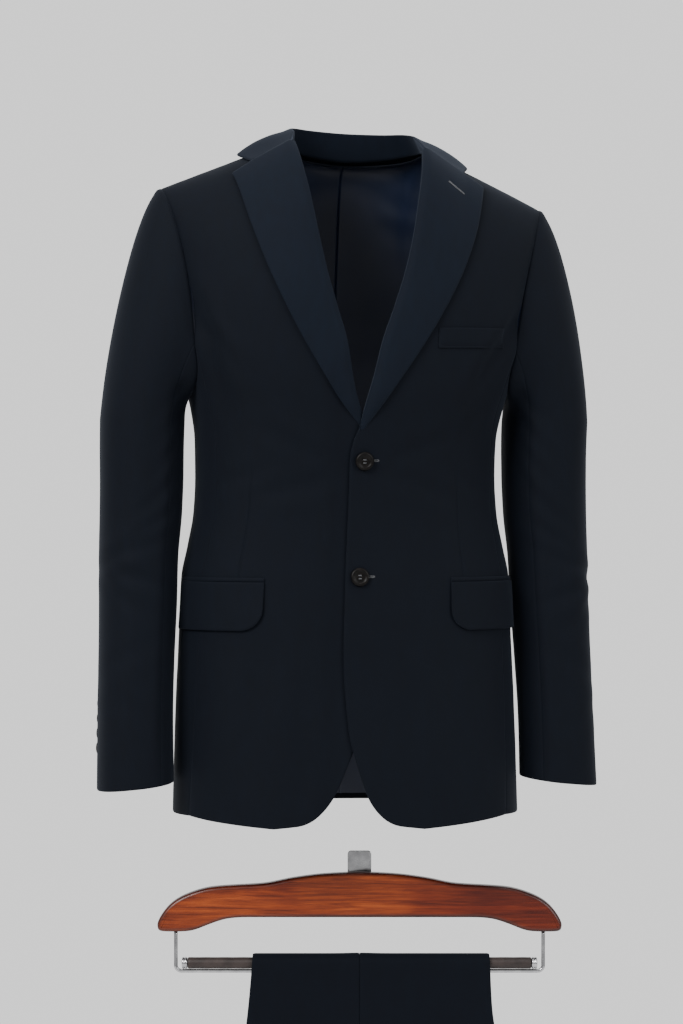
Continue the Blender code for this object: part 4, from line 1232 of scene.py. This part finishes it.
def outwardOf(place, reach=0.02):
    here, ahead, above = place(0, 0), place(reach, 0), place(0, reach)
    return (ahead - here).cross(above - here).normalized()


def backOff(radius):
    return Matrix.Translation((0, 0, -radius * 0.17))


def allButtons():
    places = []
    for node, z in button["frontRows"]:
        out = outwardOf(lambda run, up: posed(onSection(z + up, run), 1))
        places.append(seatedAt(node, out) @ backOff(button["frontRadius"]))
    sewnButtons("frontButtons", places, button["frontRadius"], [row[0] for row in button["frontRows"]])
    for side, word in ((1, "left"), (-1, "right")):
        places, nodes = [], []
        for i in range(button["cuffCount"]):
            z = sleeve["cuffZ"] + button["cuffFirst"] + i * button["cuffPitch"]
            turn = backSleeveSeam(downArm(z)) + button["cuffLead"]
            out = outwardOf(lambda run, up: posed(armPoint(z + up, turn + run * 4), side, False))
            out = out if out.x * side > 0 else -out
            nodes.append(f"{word}_cuff_button_{i + 1}")
            places.append(seatedAt(nodes[-1], out) @ backOff(button["cuffRadius"]))
        sewnButtons(f"{word}CuffButtons", places, button["cuffRadius"], nodes)


# ---------- stitches set by Geometry Nodes ----------

def stitchTree():
    # a row of small thread loops across a line, spaced evenly
    tree = bpy.data.node_groups.new("stitchRow", "GeometryNodeTree")
    face = tree.interface
    face.new_socket("Geometry", in_out="INPUT", socket_type="NodeSocketGeometry")
    for name, value in (("Spacing", 0.0006), ("Length", 0.0010), ("Width", 0.00028)):
        face.new_socket(name, in_out="INPUT", socket_type="NodeSocketFloat").default_value = value
    face.new_socket("Seed", in_out="INPUT", socket_type="NodeSocketInt").default_value = 3
    face.new_socket("Thread", in_out="INPUT", socket_type="NodeSocketMaterial")
    face.new_socket("Geometry", in_out="OUTPUT", socket_type="NodeSocketGeometry")
    nodes, links = tree.nodes, tree.links
    given, result = nodes.new("NodeGroupInput"), nodes.new("NodeGroupOutput")
    line = nodes.new("GeometryNodeMeshToCurve")
    even = nodes.new("GeometryNodeResampleCurve")
    even.mode = "LENGTH"
    strand = nodes.new("GeometryNodeMeshIcoSphere")
    strand.inputs["Radius"].default_value = 0.5
    strand.inputs["Subdivisions"].default_value = 2
    across = nodes.new("GeometryNodeInputNamedAttribute")
    across.data_type = "FLOAT_VECTOR"
    across.inputs["Name"].default_value = "across"
    turn = nodes.new("FunctionNodeAlignRotationToVector")
    turn.axis = "X"
    size = nodes.new("ShaderNodeCombineXYZ")
    vary = nodes.new("FunctionNodeRandomValue")
    vary.data_type = "FLOAT"
    vary.inputs[2].default_value, vary.inputs[3].default_value = 0.86, 1.12
    longer = nodes.new("ShaderNodeMath")
    longer.operation = "MULTIPLY"
    spread = nodes.new("GeometryNodeInstanceOnPoints")
    real, painted = nodes.new("GeometryNodeRealizeInstances"), nodes.new("GeometryNodeSetMaterial")
    links.new(given.outputs["Geometry"], line.inputs["Mesh"])
    links.new(line.outputs[0], even.inputs["Curve"])
    links.new(given.outputs["Spacing"], even.inputs["Length"])
    links.new(given.outputs["Seed"], vary.inputs["Seed"])
    links.new(given.outputs["Length"], longer.inputs[0])
    links.new(vary.outputs[1], longer.inputs[1])
    links.new(longer.outputs[0], size.inputs["X"])
    links.new(given.outputs["Width"], size.inputs["Y"])
    links.new(given.outputs["Width"], size.inputs["Z"])
    links.new(across.outputs["Attribute"], turn.inputs["Vector"])
    links.new(even.outputs[0], spread.inputs["Points"])
    links.new(strand.outputs["Mesh"], spread.inputs["Instance"])
    links.new(turn.outputs[0], spread.inputs["Rotation"])
    links.new(size.outputs[0], spread.inputs["Scale"])
    links.new(spread.outputs[0], real.inputs[0])
    links.new(real.outputs[0], painted.inputs["Geometry"])
    links.new(given.outputs["Thread"], painted.inputs["Material"])
    links.new(painted.outputs[0], result.inputs["Geometry"])
    return tree


stitchRow = stitchTree()


def stitched(name, lines, spacing, length, width):
    # lines are lists of (point, direction across) pairs; one piece for them all
    points, ways, edges = [], [], []
    for line in lines:
        base = len(points)
        points += [tuple(point) for point, across in line]
        ways += [across for point, across in line]
        edges += [(base + i, base + i + 1) for i in range(len(line) - 1)]
    mesh = bpy.data.meshes.new(name)
    mesh.from_pydata(points, edges, [])
    kept = mesh.attributes.new("across", "FLOAT_VECTOR", "POINT")
    kept.data.foreach_set("vector", [value for way in ways for value in way])
    guide = meshObject(f"{name}Guide", mesh, navyThread)
    rule = guide.modifiers.new("stitches", "NODES")
    rule.node_group = stitchRow
    values = {"Spacing": spacing, "Length": length, "Width": width, "Seed": 3, "Thread": navyThread}
    for item in stitchRow.interface.items_tree:
        if item.name in values:
            rule[item.identifier] = values[item.name]
    ready = settled(guide)
    ready.name = name
    ready.shade_smooth()
    placed(objectOf(name, ready), "navy_worsted")


def frontSpot(x, z, lift=0.0004):
    # a point of the left front's finished surface
    turn = turnOf(x, z)
    here = posed(onSection(z, turn), 1)
    out = outwardOf(lambda run, up: posed(onSection(z + up, turn + run), 1), 0.01)
    return here + out * (bodyRelief(here) + lift), out


def keyholeLine(middle, along, across, half, gap):
    # the two sides of a buttonhole and its rounded end, as one line
    line = [(middle + along * run + across * gap, across) for run in steps(24, -half, half)]
    for i in range(1, 9):
        way = along * sin(pi * i / 9) + across * cos(pi * i / 9)
        line.append((middle + along * half + way * gap, way))
    return line + [(middle + along * run - across * gap, across) for run in steps(24, half, -half)]


def buttonholes(lapelRows):
    lines = []
    for row in button["frontRows"]:
        z = row[1] + 0.0004
        start, end, out = frontSpot(0.0015, z)[0], *frontSpot(0.0150, z)
        along = (end - start).normalized()
        across = out.cross(along).normalized()
        lines.append(keyholeLine((start + end) / 2, along, across, 0.0068, 0.0007))
    flatPoints = [point for row in lapelRows for point in row]

    def onLapel(x, z):
        near = sorted(flatPoints, key=lambda p: (p.x - x) ** 2 + (p.z - z) ** 2 + 0.01 * (p.y > 0))[:3]
        return Vector((x, sum(p.y for p in near) / 3, z))

    slit, at = lapelCut["holeTurn"], lapelCut["holeAt"]
    middle = onLapel(at.x, at.z)
    along = (onLapel(at.x + 0.009 * cos(slit), at.z + 0.009 * sin(slit)) - middle).normalized()
    above = (onLapel(at.x - 0.006 * sin(slit), at.z + 0.006 * cos(slit)) - middle).normalized()
    out = along.cross(above).normalized()
    out = out if out.y < 0 else -out
    across = out.cross(along).normalized()
    lines.append(keyholeLine(middle + out * 0.0006, along, across, 0.0105, 0.0006))
    stitched("buttonholes", lines, 0.00042, 0.0013, 0.00034)


# ---------- hanger and trousers, in the hanger's own space ----------

hanger = {
    "turn": radians(-8), "shift": 0.0158, "y": -0.026, "touch": 0.0003,
    "barZ": -0.8910, "barRadius": 0.00625, "barHalf": 0.1870, "capLength": 0.0060,
    "wireX": 0.200, "wireRadius": 0.0021, "wireCorner": 0.0060,
    "bracketSize": (0.026, 0.004, 0.064), "bracketTop": -0.770, "screwsAt": (-0.011, -0.053),
    "woodThickness": 0.018, "woodEdge": 0.0042, "woodFootZ": -0.8563,
    # the wood's right half: its top line, its end and its underside
    "woodTop": [(0.000, -0.7917), (0.039, -0.7937), (0.073, -0.7980), (0.104, -0.8040), (0.145, -0.8065),
                (0.1616, -0.8080), (0.189, -0.8160), (0.207, -0.8270), (0.217, -0.8400)],
    "woodEnd": [(0.2203, -0.8480), (0.2190, -0.8545), (0.2140, -0.8563), (0.1830, -0.8563)],
    "woodUnder": [(0.000, -0.8407), (0.125, -0.8407), (0.143, -0.8420), (0.163, -0.8480)],
}
hangerFrame = Matrix.Rotation(hanger["turn"], 4, "Z") @ Matrix.Translation((hanger["shift"], hanger["y"], 0))
trousers = {
    "barGap": 0.0003, "legWall": 0.0010, "innerWall": 0.0014, "waistWall": 0.0018, "loopWall": 0.0012,
    "waistband": 0.042, "legStart": 0.0426, "foldAt": 0.450, "length": 1.040, "waistLift": 0.0008,
    "loopWidth": 0.010, "loopRun": 0.052, "loopsAt": (-0.115, 0.012, 0.135),
    "legFlat": (0.26, 1.0), "innerFlat": (0.48, 1.04), "bandFlat": (0.43, 0.045), "loopFlat": (0.0105, 0.056),
}
legFront, legBack = columnsOf([
    (0.000, -0.200, 0.215), (0.042, -0.203, 0.222), (0.100, -0.208, 0.240), (0.160, -0.213, 0.254),
    (0.210, -0.208, 0.250), (0.250, -0.180, 0.215), (0.290, -0.146, 0.172), (0.340, -0.128, 0.153),
    (0.390, -0.121, 0.144), (0.450, -0.116, 0.141), (0.600, -0.108, 0.127), (1.040, -0.088, 0.100),
])


def draped(x, length, radius):
    # a point of the folded leg: length from the waist, radius of its layer over the bar
    middle = hanger["barRadius"] + trousers["barGap"] + trousers["legWall"] + trousers["innerWall"] / 2
    middle += hanger["touch"]
    run = trousers["foldAt"] - length
    arc = middle * pi / 2
    if abs(run) <= arc:
        angle = run / middle
        return hangerFrame @ Vector((x, -radius * sin(angle), hanger["barZ"] + radius * cos(angle)))
    return hangerFrame @ Vector((x, copysign(radius, -run), hanger["barZ"] - (abs(run) - arc)))


def legLengths(start):
    # closer together at the start and the hem, and round the bar
    arc, fold = (hanger["barRadius"] + 0.002) * pi / 2, trousers["foldAt"]
    stops = [start + v for v in (0, 0.0006, 0.0014, 0.0026)]
    stops += [v for v in steps(60, 0.0, fold - arc) if v > start + 0.004]
    stops += steps(20, fold - arc, fold + arc)[1:]
    stops += [v for v in steps(66, fold + arc, trousers["length"])[1:] if v < 1.036]
    return stops + [1.0374, 1.0386, 1.0394, trousers["length"]]


def legRelief(side, reach):
    # soft hanging waves that only move outward, and a faint rise where the outseam crosses the bar
    def relief(i, j, point):
        local = hangerFrame.inverted() @ point
        below = ease((hanger["barZ"] - local.z) / 0.05)
        wave = noise.noise(Vector((local.x * 9, side * 3 + (2 if local.y > 0 else 0), local.z * 4.5)))
        fine = noise.noise(Vector((local.x * 34, side * 5, local.z * 16)))
        rise = exp(-(local.x / 0.016) ** 2) * (1 - below) * 0.0005
        return reach * (below * (0.0016 * (wave + 0.5) + 0.00035 * (fine + 0.5)) + rise)
    return relief


def legPanel(word, edge, radius, wall, reach):
    outline = legFront if edge == "front" else legBack

    def across(length):
        outer = outline(length)
        inner = copysign(seamGap / 2, outer)
        return [mix(inner, outer, share) for share in fineSteps(24, 0.12)]

    grid = []
    for length in legLengths(trousers["legStart"]):
        xs = across(length)
        grid.append([draped(x, length, radius) for x in (xs[::-1] if edge == "front" else xs)])
    crease = (0.0006, 0.0030)
    sides = (crease, seamRoll) if edge == "front" else (seamRoll, crease)
    clothPiece(f"{word}Leg{edge.title()}Shell", f"{word}_leg_{edge}", grid,
               legRelief(1 if word == "left" else -1, reach),
               (*sides, seamRoll, (0.0004, 0.0014)), wall, [navyCloth])


def innerLayers(radius):
    grid = []
    for length in [0.006] + legLengths(trousers["legStart"]):
        first, last = legFront(length) + 0.0012, legBack(length) - 0.0012
        grid.append([draped(mix(first, last, share), length, radius) for share in fineSteps(36, 0.25)])
    clothPiece("innerLegLayers", "leg_inner_layers", grid,
               legRelief(0, 0.0), [(0.0005, 0.0016)] * 4,
               trousers["innerWall"], [navyCloth, pocketing])


def waist(word, radius, wall):
    grid = []
    first, last = legFront(0.02), legBack(0.02)
    for length in fineSteps(16, trousers["waistband"]):
        grid.append([draped(mix(first, last, share), length * trousers["waistband"], radius)
                     for share in fineSteps(70, 0.42)])
    side = (0.0006, 0.003)
    low = foldedEdge if word == "right" else (0.0003, 0.001)
    clothPiece(f"{word}WaistbandShell", f"{word}_waistband", grid,
               legRelief(2, 0.3), (side, side, low, seamRoll),
               wall, [navyCloth, pocketing])


def beltLoops(word, radius):
    width, run = trousers["loopWidth"], trousers["loopRun"]
    for i, x in enumerate(trousers["loopsAt"]):
        grid = [[draped(x + step * width, mix(-0.002, run, share), radius)
                 for step in (-0.5, -0.44, -0.36, -0.22, 0, 0.22, 0.36, 0.44, 0.5)]
                for share in fineSteps(22, 0.054)]
        clothPiece(f"{word}BeltLoop{i + 1}", f"{word}_belt_loop_{i + 1}", grid,
                   None, [(0.0003, 0.0012)] * 4, trousers["loopWall"],
                   [navyCloth])


def loopTacks(radius):
    # short bars of thread at both ends of the outer belt loops
    up = hangerFrame.to_3x3() @ Vector((0, 0, 1))
    lines = []
    for x in trousers["loopsAt"]:
        for length in (0.003, trousers["loopRun"] - 0.0035):
            lines.append([(draped(x + share * trousers["loopWidth"], length, radius + 0.0002), up)
                          for share in (-0.42, -0.2, 0, 0.2, 0.42)])
    stitched("beltLoopTacks", lines, 0.0008, 0.0015, 0.0004)


# ---------- the hanger ----------

def mahoganyLook(name):
    # streaky red-brown grain along the bar, painted shade darkening the rounded edge band, and a deeper left
    # end
    look = Look(name, {"Coat Weight": 0.05, "Coat Roughness": 0.18, "Specular IOR Level": 0.14})
    turned = look.scaled(look.place, (1, 1, 1), -hanger["turn"])
    grain = look.noise(turned, (34, 700, 900), 4.0, 0.7)
    tone = look.sum((look.noise(turned, (5.5, 90, 120), 5.0, 0.62, 0.9), 0.62), (grain, 0.38))
    colour = look.ramp(tone, [(0.34, (0.022, 0.0030, 0.0007)), (0.46, (0.062, 0.0090, 0.0014)),
                              (0.57, (0.110, 0.0190, 0.0026)), (0.72, (0.180, 0.0400, 0.0060))])
    patch = look.noise(turned, (9, 14, 22), 2.0)
    colour = look.times(colour, look.ramp(patch, [(0.36, (0.62, 0.42, 0.38)), (0.60, plain)]))
    apart = look.add("SeparateXYZ")
    look.links.new(turned, apart.inputs[0])
    far = look.ranged(apart.outputs["X"], {"From Min": 0.02, "From Max": 0.20, "To Min": 0.0, "To Max": 1.0})
    colour = look.times(colour, look.ramp(far, [(0.0, plain), (1.0, (0.50, 0.34, 0.38))]))
    # painted shade: the rounded edge band is darkened where its turn falls into shade
    edge = look.add("Attribute")
    edge.attribute_name = "edge"
    colour = look.times(colour, look.ramp(edge.outputs["Fac"], [(0.0, plain), (1.0, (0.22, 0.15, 0.14))]))
    return look.finish(colour, grain, (0.26, 0.42), grain, 0.12, 0.0003)


def chromeLook(name):
    look = Look(name, {"Metallic": 1.0})
    haze, drawn = look.noise(look.place, 70.0, 4.0), look.noise(look.place, 900.0, 2.0)
    # painted reflection: the metal's base colour is a dark grey that stands in for the dark surroundings it
    # reflects
    colour = look.ramp(haze, [(0.3, (0.16, 0.16, 0.165)), (0.7, (0.26, 0.26, 0.265))])
    return look.finish(colour, haze, (0.10, 0.26), drawn, 0.05, 0.0001)


def sleeveLook(name):
    # the dark grippy sleeve of the bar
    look = Look(name, {"Specular IOR Level": 0.16})
    cloudy, fine = look.noise(look.place, 45.0, 4.0), look.noise(look.place, 1500.0, 2.0)
    colour = look.ramp(cloudy, [(0.34, (0.0075, 0.0050, 0.0045)), (0.68, (0.0190, 0.0130, 0.0115))])
    return look.finish(colour, cloudy, (0.42, 0.62), fine, 0.2, 0.0001)


mahogany, chrome, barSleeve = mahoganyLook("mahogany"), chromeLook("chrome"), sleeveLook("barSleeve")



def woodOutline():
    # the right half along the top, round the end and back underneath, then its mirror
    topLine, underLine = columnsOf(hanger["woodTop"])[0], columnsOf(hanger["woodUnder"])[0]
    right = [(x, topLine(x)) for x in steps(110, 0.0, 0.217)]
    corner = [(0.217, -0.8400)] + hanger["woodEnd"] + [(0.163, -0.8480)]
    for a, b in zip(corner, corner[1:]):
        right += [(mix(a[0], b[0], i / 8), mix(a[1], b[1], i / 8)) for i in range(1, 9)]
    right += [(x, underLine(x)) for x in steps(84, 0.163, 0.0)[1:]]
    for _ in range(10):
        # relax the corners of the outline a little
        right = [right[0]] + [((a[0] + 2 * b[0] + c[0]) / 4, (a[1] + 2 * b[1] + c[1]) / 4)
                              for a, b, c in zip(right, right[1:], right[2:])] + [right[-1]]
    return right + [(-x, z) for x, z in right[-2:0:-1]]


def hangerWood():
    # rings from the front face over the rounded edge to the back face
    outline = woodOutline()
    count, half, edge = len(outline), hanger["woodThickness"] / 2, hanger["woodEdge"]
    normals = []
    for i in range(count):
        a, b = outline[i - 1], outline[(i + 1) % count]
        run = ((b[0] - a[0]) ** 2 + (b[1] - a[1]) ** 2) ** 0.5
        normals.append(((a[1] - b[1]) / run, (b[0] - a[0]) / run))
    rings = [(edge + 0.0006, -half)]
    rings += [(edge * (1 - sin(angle)), -half + edge * (1 - cos(angle))) for angle in steps(7, 0.0, pi / 2)]
    rings += [(inset, -y) for inset, y in reversed(rings)]
    build = bmesh.new()
    edgeShadeLayer = build.verts.layers.float.new("edge")
    loops = []
    for inset, y in rings:
        ring = []
        for (x, z), (nx, nz) in zip(outline, normals):
            made = build.verts.new(hangerFrame @ Vector((x - nx * inset, y, z - nz * inset)))
            # mask of the painted edge shade: full at the outline, fading out across the rounded edge toward
            # the faces
            made[edgeShadeLayer] = max(0.0, min(1.0, (edge * 1.1 - inset) / edge))
            ring.append(made)
        loops.append(ring)
    for low, high in zip(loops, loops[1:]):
        for i in range(count):
            after = (i + 1) % count
            build.faces.new((low[i], low[after], high[after], high[i]))
    foot = count // 2
    for ring in (loops[0], loops[-1]):
        # upright strips across the face, from the top line to the underside
        for i in range(foot // 2):
            for a, b, c, d in ((i, i + 1, foot - i - 1, foot - i),
                               (-i, -i - 1, foot + i + 1, foot + i)):
                quad = list(dict.fromkeys(ring[k % count] for k in (a, b, c, d)))
                if len(quad) > 2:
                    build.faces.new(quad)
    bmesh.ops.recalc_face_normals(build, faces=build.faces)
    name = "hangerWoodCarved"
    placed(meshObject(name, meshOf(name, build), mahogany), "mahogany", "hanger_wood")


def meshFrom(name, fill, look, node, slot):
    build = bmesh.new()
    fill(build)
    bmesh.ops.recalc_face_normals(build, faces=build.faces)
    build.transform(hangerFrame)
    placed(meshObject(name, meshOf(name, build), look), slot, node)


def addTurned(build, profile, segments, place):
    mesh = lathe(profile, segments)
    mesh.transform(place)
    build.from_mesh(mesh)
    bpy.data.meshes.remove(mesh)


def alongBar(middle):
    return Matrix.Translation((middle, 0, hanger["barZ"])) @ Matrix.Rotation(pi / 2, 4, "Y")


def hangerMetal():
    def wire(build):
        low = hanger["barZ"] - hanger["barRadius"] - hanger["touch"] - hanger["wireRadius"]
        far, bend, foot = hanger["wireX"], hanger["wireCorner"], hanger["woodFootZ"]
        corner = [(far - bend * (1 - cos(a)), low + bend * (1 - sin(a))) for a in steps(12, 0, pi / 2)]
        half = [(far, foot - hanger["touch"])] + [(far, z) for z in steps(8, foot - 0.003, corner[0][1])]
        half += corner
        half += [(x, low) for x in steps(24, corner[-1][0], 0.0)[1:]]
        route = half + [(-x, z) for x, z in reversed(half[:-1])]
        clean = [route[0]]
        for spot in route[1:]:
            if abs(spot[0] - clean[-1][0]) + abs(spot[1] - clean[-1][1]) > 1e-6:
                clean.append(spot)
        tube(build, [Vector((x, 0, z)) for x, z in clean], hanger["wireRadius"], 20)

    def bar(build):
        # the sleeve is very slightly uneven and rounded where it ends
        end, radius = hanger["barHalf"], hanger["barRadius"]
        profile = [(0.0, -end), (radius - 0.0012, -end), (radius - 0.0004, -end + 0.0004),
                   (radius, -end + 0.0013)]
        for z in steps(64, -end + 0.003, end - 0.003):
            profile.append((radius - 0.00012 * (0.5 + 0.5 * sin(z * 310)), z))
        profile += [(out, -z) for out, z in reversed(profile[:4])]
        addTurned(build, profile, 40, alongBar(0))

    def cap(middle):
        def fill(build):
            half, radius = hanger["capLength"] / 2, hanger["barRadius"]
            profile = [(0.0, -half), (radius - 0.0011, -half), (radius - 0.0003, -half + 0.0004),
                       (radius, -half + 0.0012), (radius, -0.0007), (radius - 0.0005, -0.0003),
                       (radius - 0.0005, 0.0003), (radius, 0.0007), (radius, half - 0.0012),
                       (radius - 0.0003, half - 0.0004), (radius - 0.0011, half), (0.0, half)]
            addTurned(build, profile, 36, alongBar(middle))
        return fill

    def plate(build):
        width, depth, height = hanger["bracketSize"]
        middle = hanger["woodThickness"] / 2 + hanger["touch"] + depth / 2
        spot = Matrix.Translation((0, middle, hanger["bracketTop"] - height / 2))
        bmesh.ops.create_cube(build, size=1, matrix=spot @ Matrix.Diagonal((width, depth, height, 1)))
        upright = [e for e in build.edges if abs(e.verts[0].co.y - e.verts[1].co.y) > depth * 0.5]
        bmesh.ops.bevel(build, geom=upright, offset=0.004, segments=6, affect="EDGES", profile=0.5)
        rims = [e for e in build.edges if e.calc_face_angle(0) > radians(60)]
        bmesh.ops.bevel(build, geom=rims, offset=0.0006, segments=3, affect="EDGES", profile=0.5)
        for z in hanger["screwsAt"]:
            # a plain screw head on the plate
            spot = Matrix.Translation((0, middle + depth / 2 - 0.0001, hanger["bracketTop"] + z)) @ \
                Matrix.Rotation(-pi / 2, 4, "X")
            head = [(0.0, 0.0010), (0.0016, 0.0010), (0.0027, 0.0007), (0.0033, 0.0002), (0.0033, -0.0006),
                    (0.0, -0.0006)]
            addTurned(build, head, 28, spot)

    meshFrom("hangerWireBent", wire, chrome, "hanger_wire", "chrome")
    meshFrom("trouserBarSleeve", bar, barSleeve, "trouser_bar", "bar_sleeve")
    reach = hanger["barHalf"] + hanger["touch"] + hanger["capLength"] / 2
    for word, side in (("right", -1), ("left", 1)):
        meshFrom(f"{word}BarCapTurned", cap(side * reach), chrome, f"{word}_bar_cap", "chrome")
    meshFrom("hangerBracketPlate", plate, chrome, "hanger_bracket", "chrome")


# ---------- the whole ----------

def buildJacket():
    for side, word in ((1, "left"), (-1, "right")):
        frontPanel(side, word)
        sidePanel(side, word)
        backPanel(side, word)
        rows = lapel(side, word)
        leftLapelRows = rows if side > 0 else leftLapelRows
        sleevePart(side, word, True)
        sleevePart(side, word, False)
        flap(side, word)
        flapJet(side, word)
    collar()
    breastWelt()
    allButtons()
    buttonholes(leftLapelRows)


def buildTrousers():
    inner = hanger["barRadius"] + trousers["barGap"] + trousers["legWall"]
    middle = inner + hanger["touch"] + trousers["innerWall"]
    outer = middle + hanger["touch"] + trousers["legWall"]
    for edge in ("front", "back"):
        legPanel("left", edge, inner, trousers["legWall"], 0.0)
        legPanel("right", edge, outer, trousers["legWall"], 1.0)
    innerLayers(middle)
    waist("left", inner, trousers["legWall"])
    waist("right", outer + trousers["waistLift"], trousers["waistWall"])
    onBand = outer + trousers["waistLift"] + hanger["touch"] + trousers["loopWall"]
    beltLoops("right", onBand)
    loopTacks(onBand)
    beltLoops("left", inner - trousers["legWall"] - hanger["touch"])


buildJacket()
buildTrousers()
hangerWood()
hangerMetal()


# ---------- floor, light and camera ----------

def paleLook(name, colour):
    look = Look(name, {"Roughness": 0.85})
    dark = tuple(part * 0.985 for part in colour)
    soft = look.noise(look.place, 1.4, 2.0)
    look.links.new(look.ramp(soft, [(0.3, dark), (0.7, colour)]), look.shader.inputs["Base Color"])
    return look.made


def areaLight(name, spot, size, power):
    data = bpy.data.lights.new(name, "AREA")
    data.shape, data.size, data.size_y, data.energy = "RECTANGLE", *size, power
    made = objectOf(name, data)
    made.location = spot
    made.rotation_euler = (Vector(studio["aim"]) - Vector(spot)).to_track_quat("-Z", "Y").to_euler()


studio = {
    "floorDrop": 0.012, "floorRadius": 2.7, "floorColour": (0.82, 0.82, 0.82), "worldStrength": 1.2,
    "aim": (0, 0, -0.40), "cameraTurn": radians(8), "cameraAway": 3.0, "cameraAside": -0.0038, "lens": 96,
}
low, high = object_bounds()
build = bmesh.new()
under = Matrix.Translation((0, 0, low.z - studio["floorDrop"]))
bmesh.ops.create_circle(build, cap_ends=True, segments=128, radius=studio["floorRadius"], matrix=under)
meshObject("paleFloor", meshOf("paleFloor", build), paleLook("paleFloor", studio["floorColour"]))

world = bpy.data.worlds.new("studio")
bpy.context.scene.world = world
world.use_nodes = True
world.node_tree.nodes["Background"].inputs["Color"].default_value = (1.0, 1.0, 1.0, 1)
world.node_tree.nodes["Background"].inputs["Strength"].default_value = studio["worldStrength"]

areaLight("keySoft", (-2.1, -2.0, 1.30), (1.5, 1.5), 300)
areaLight("fillSoft", (1.9, -2.0, 0.5), (1.6, 1.8), 110)
areaLight("topSoft", (0, -0.6, 2.2), (1.6, 1.2), 60)

turn = studio["cameraTurn"]
across, ahead = Vector((cos(turn), -sin(turn), 0)), Vector((sin(turn), cos(turn), 0))
camera = objectOf("camera", bpy.data.cameras.new("camera"))
camera.data.sensor_width, camera.data.lens = 36, studio["lens"]
camera.location = across * studio["cameraAside"] - ahead * studio["cameraAway"] + Vector(studio["aim"])
camera.rotation_euler = ahead.to_track_quat("-Z", "Y").to_euler()
camera.data.clip_start, camera.data.clip_end = 0.05, 60
bpy.context.scene.camera = camera
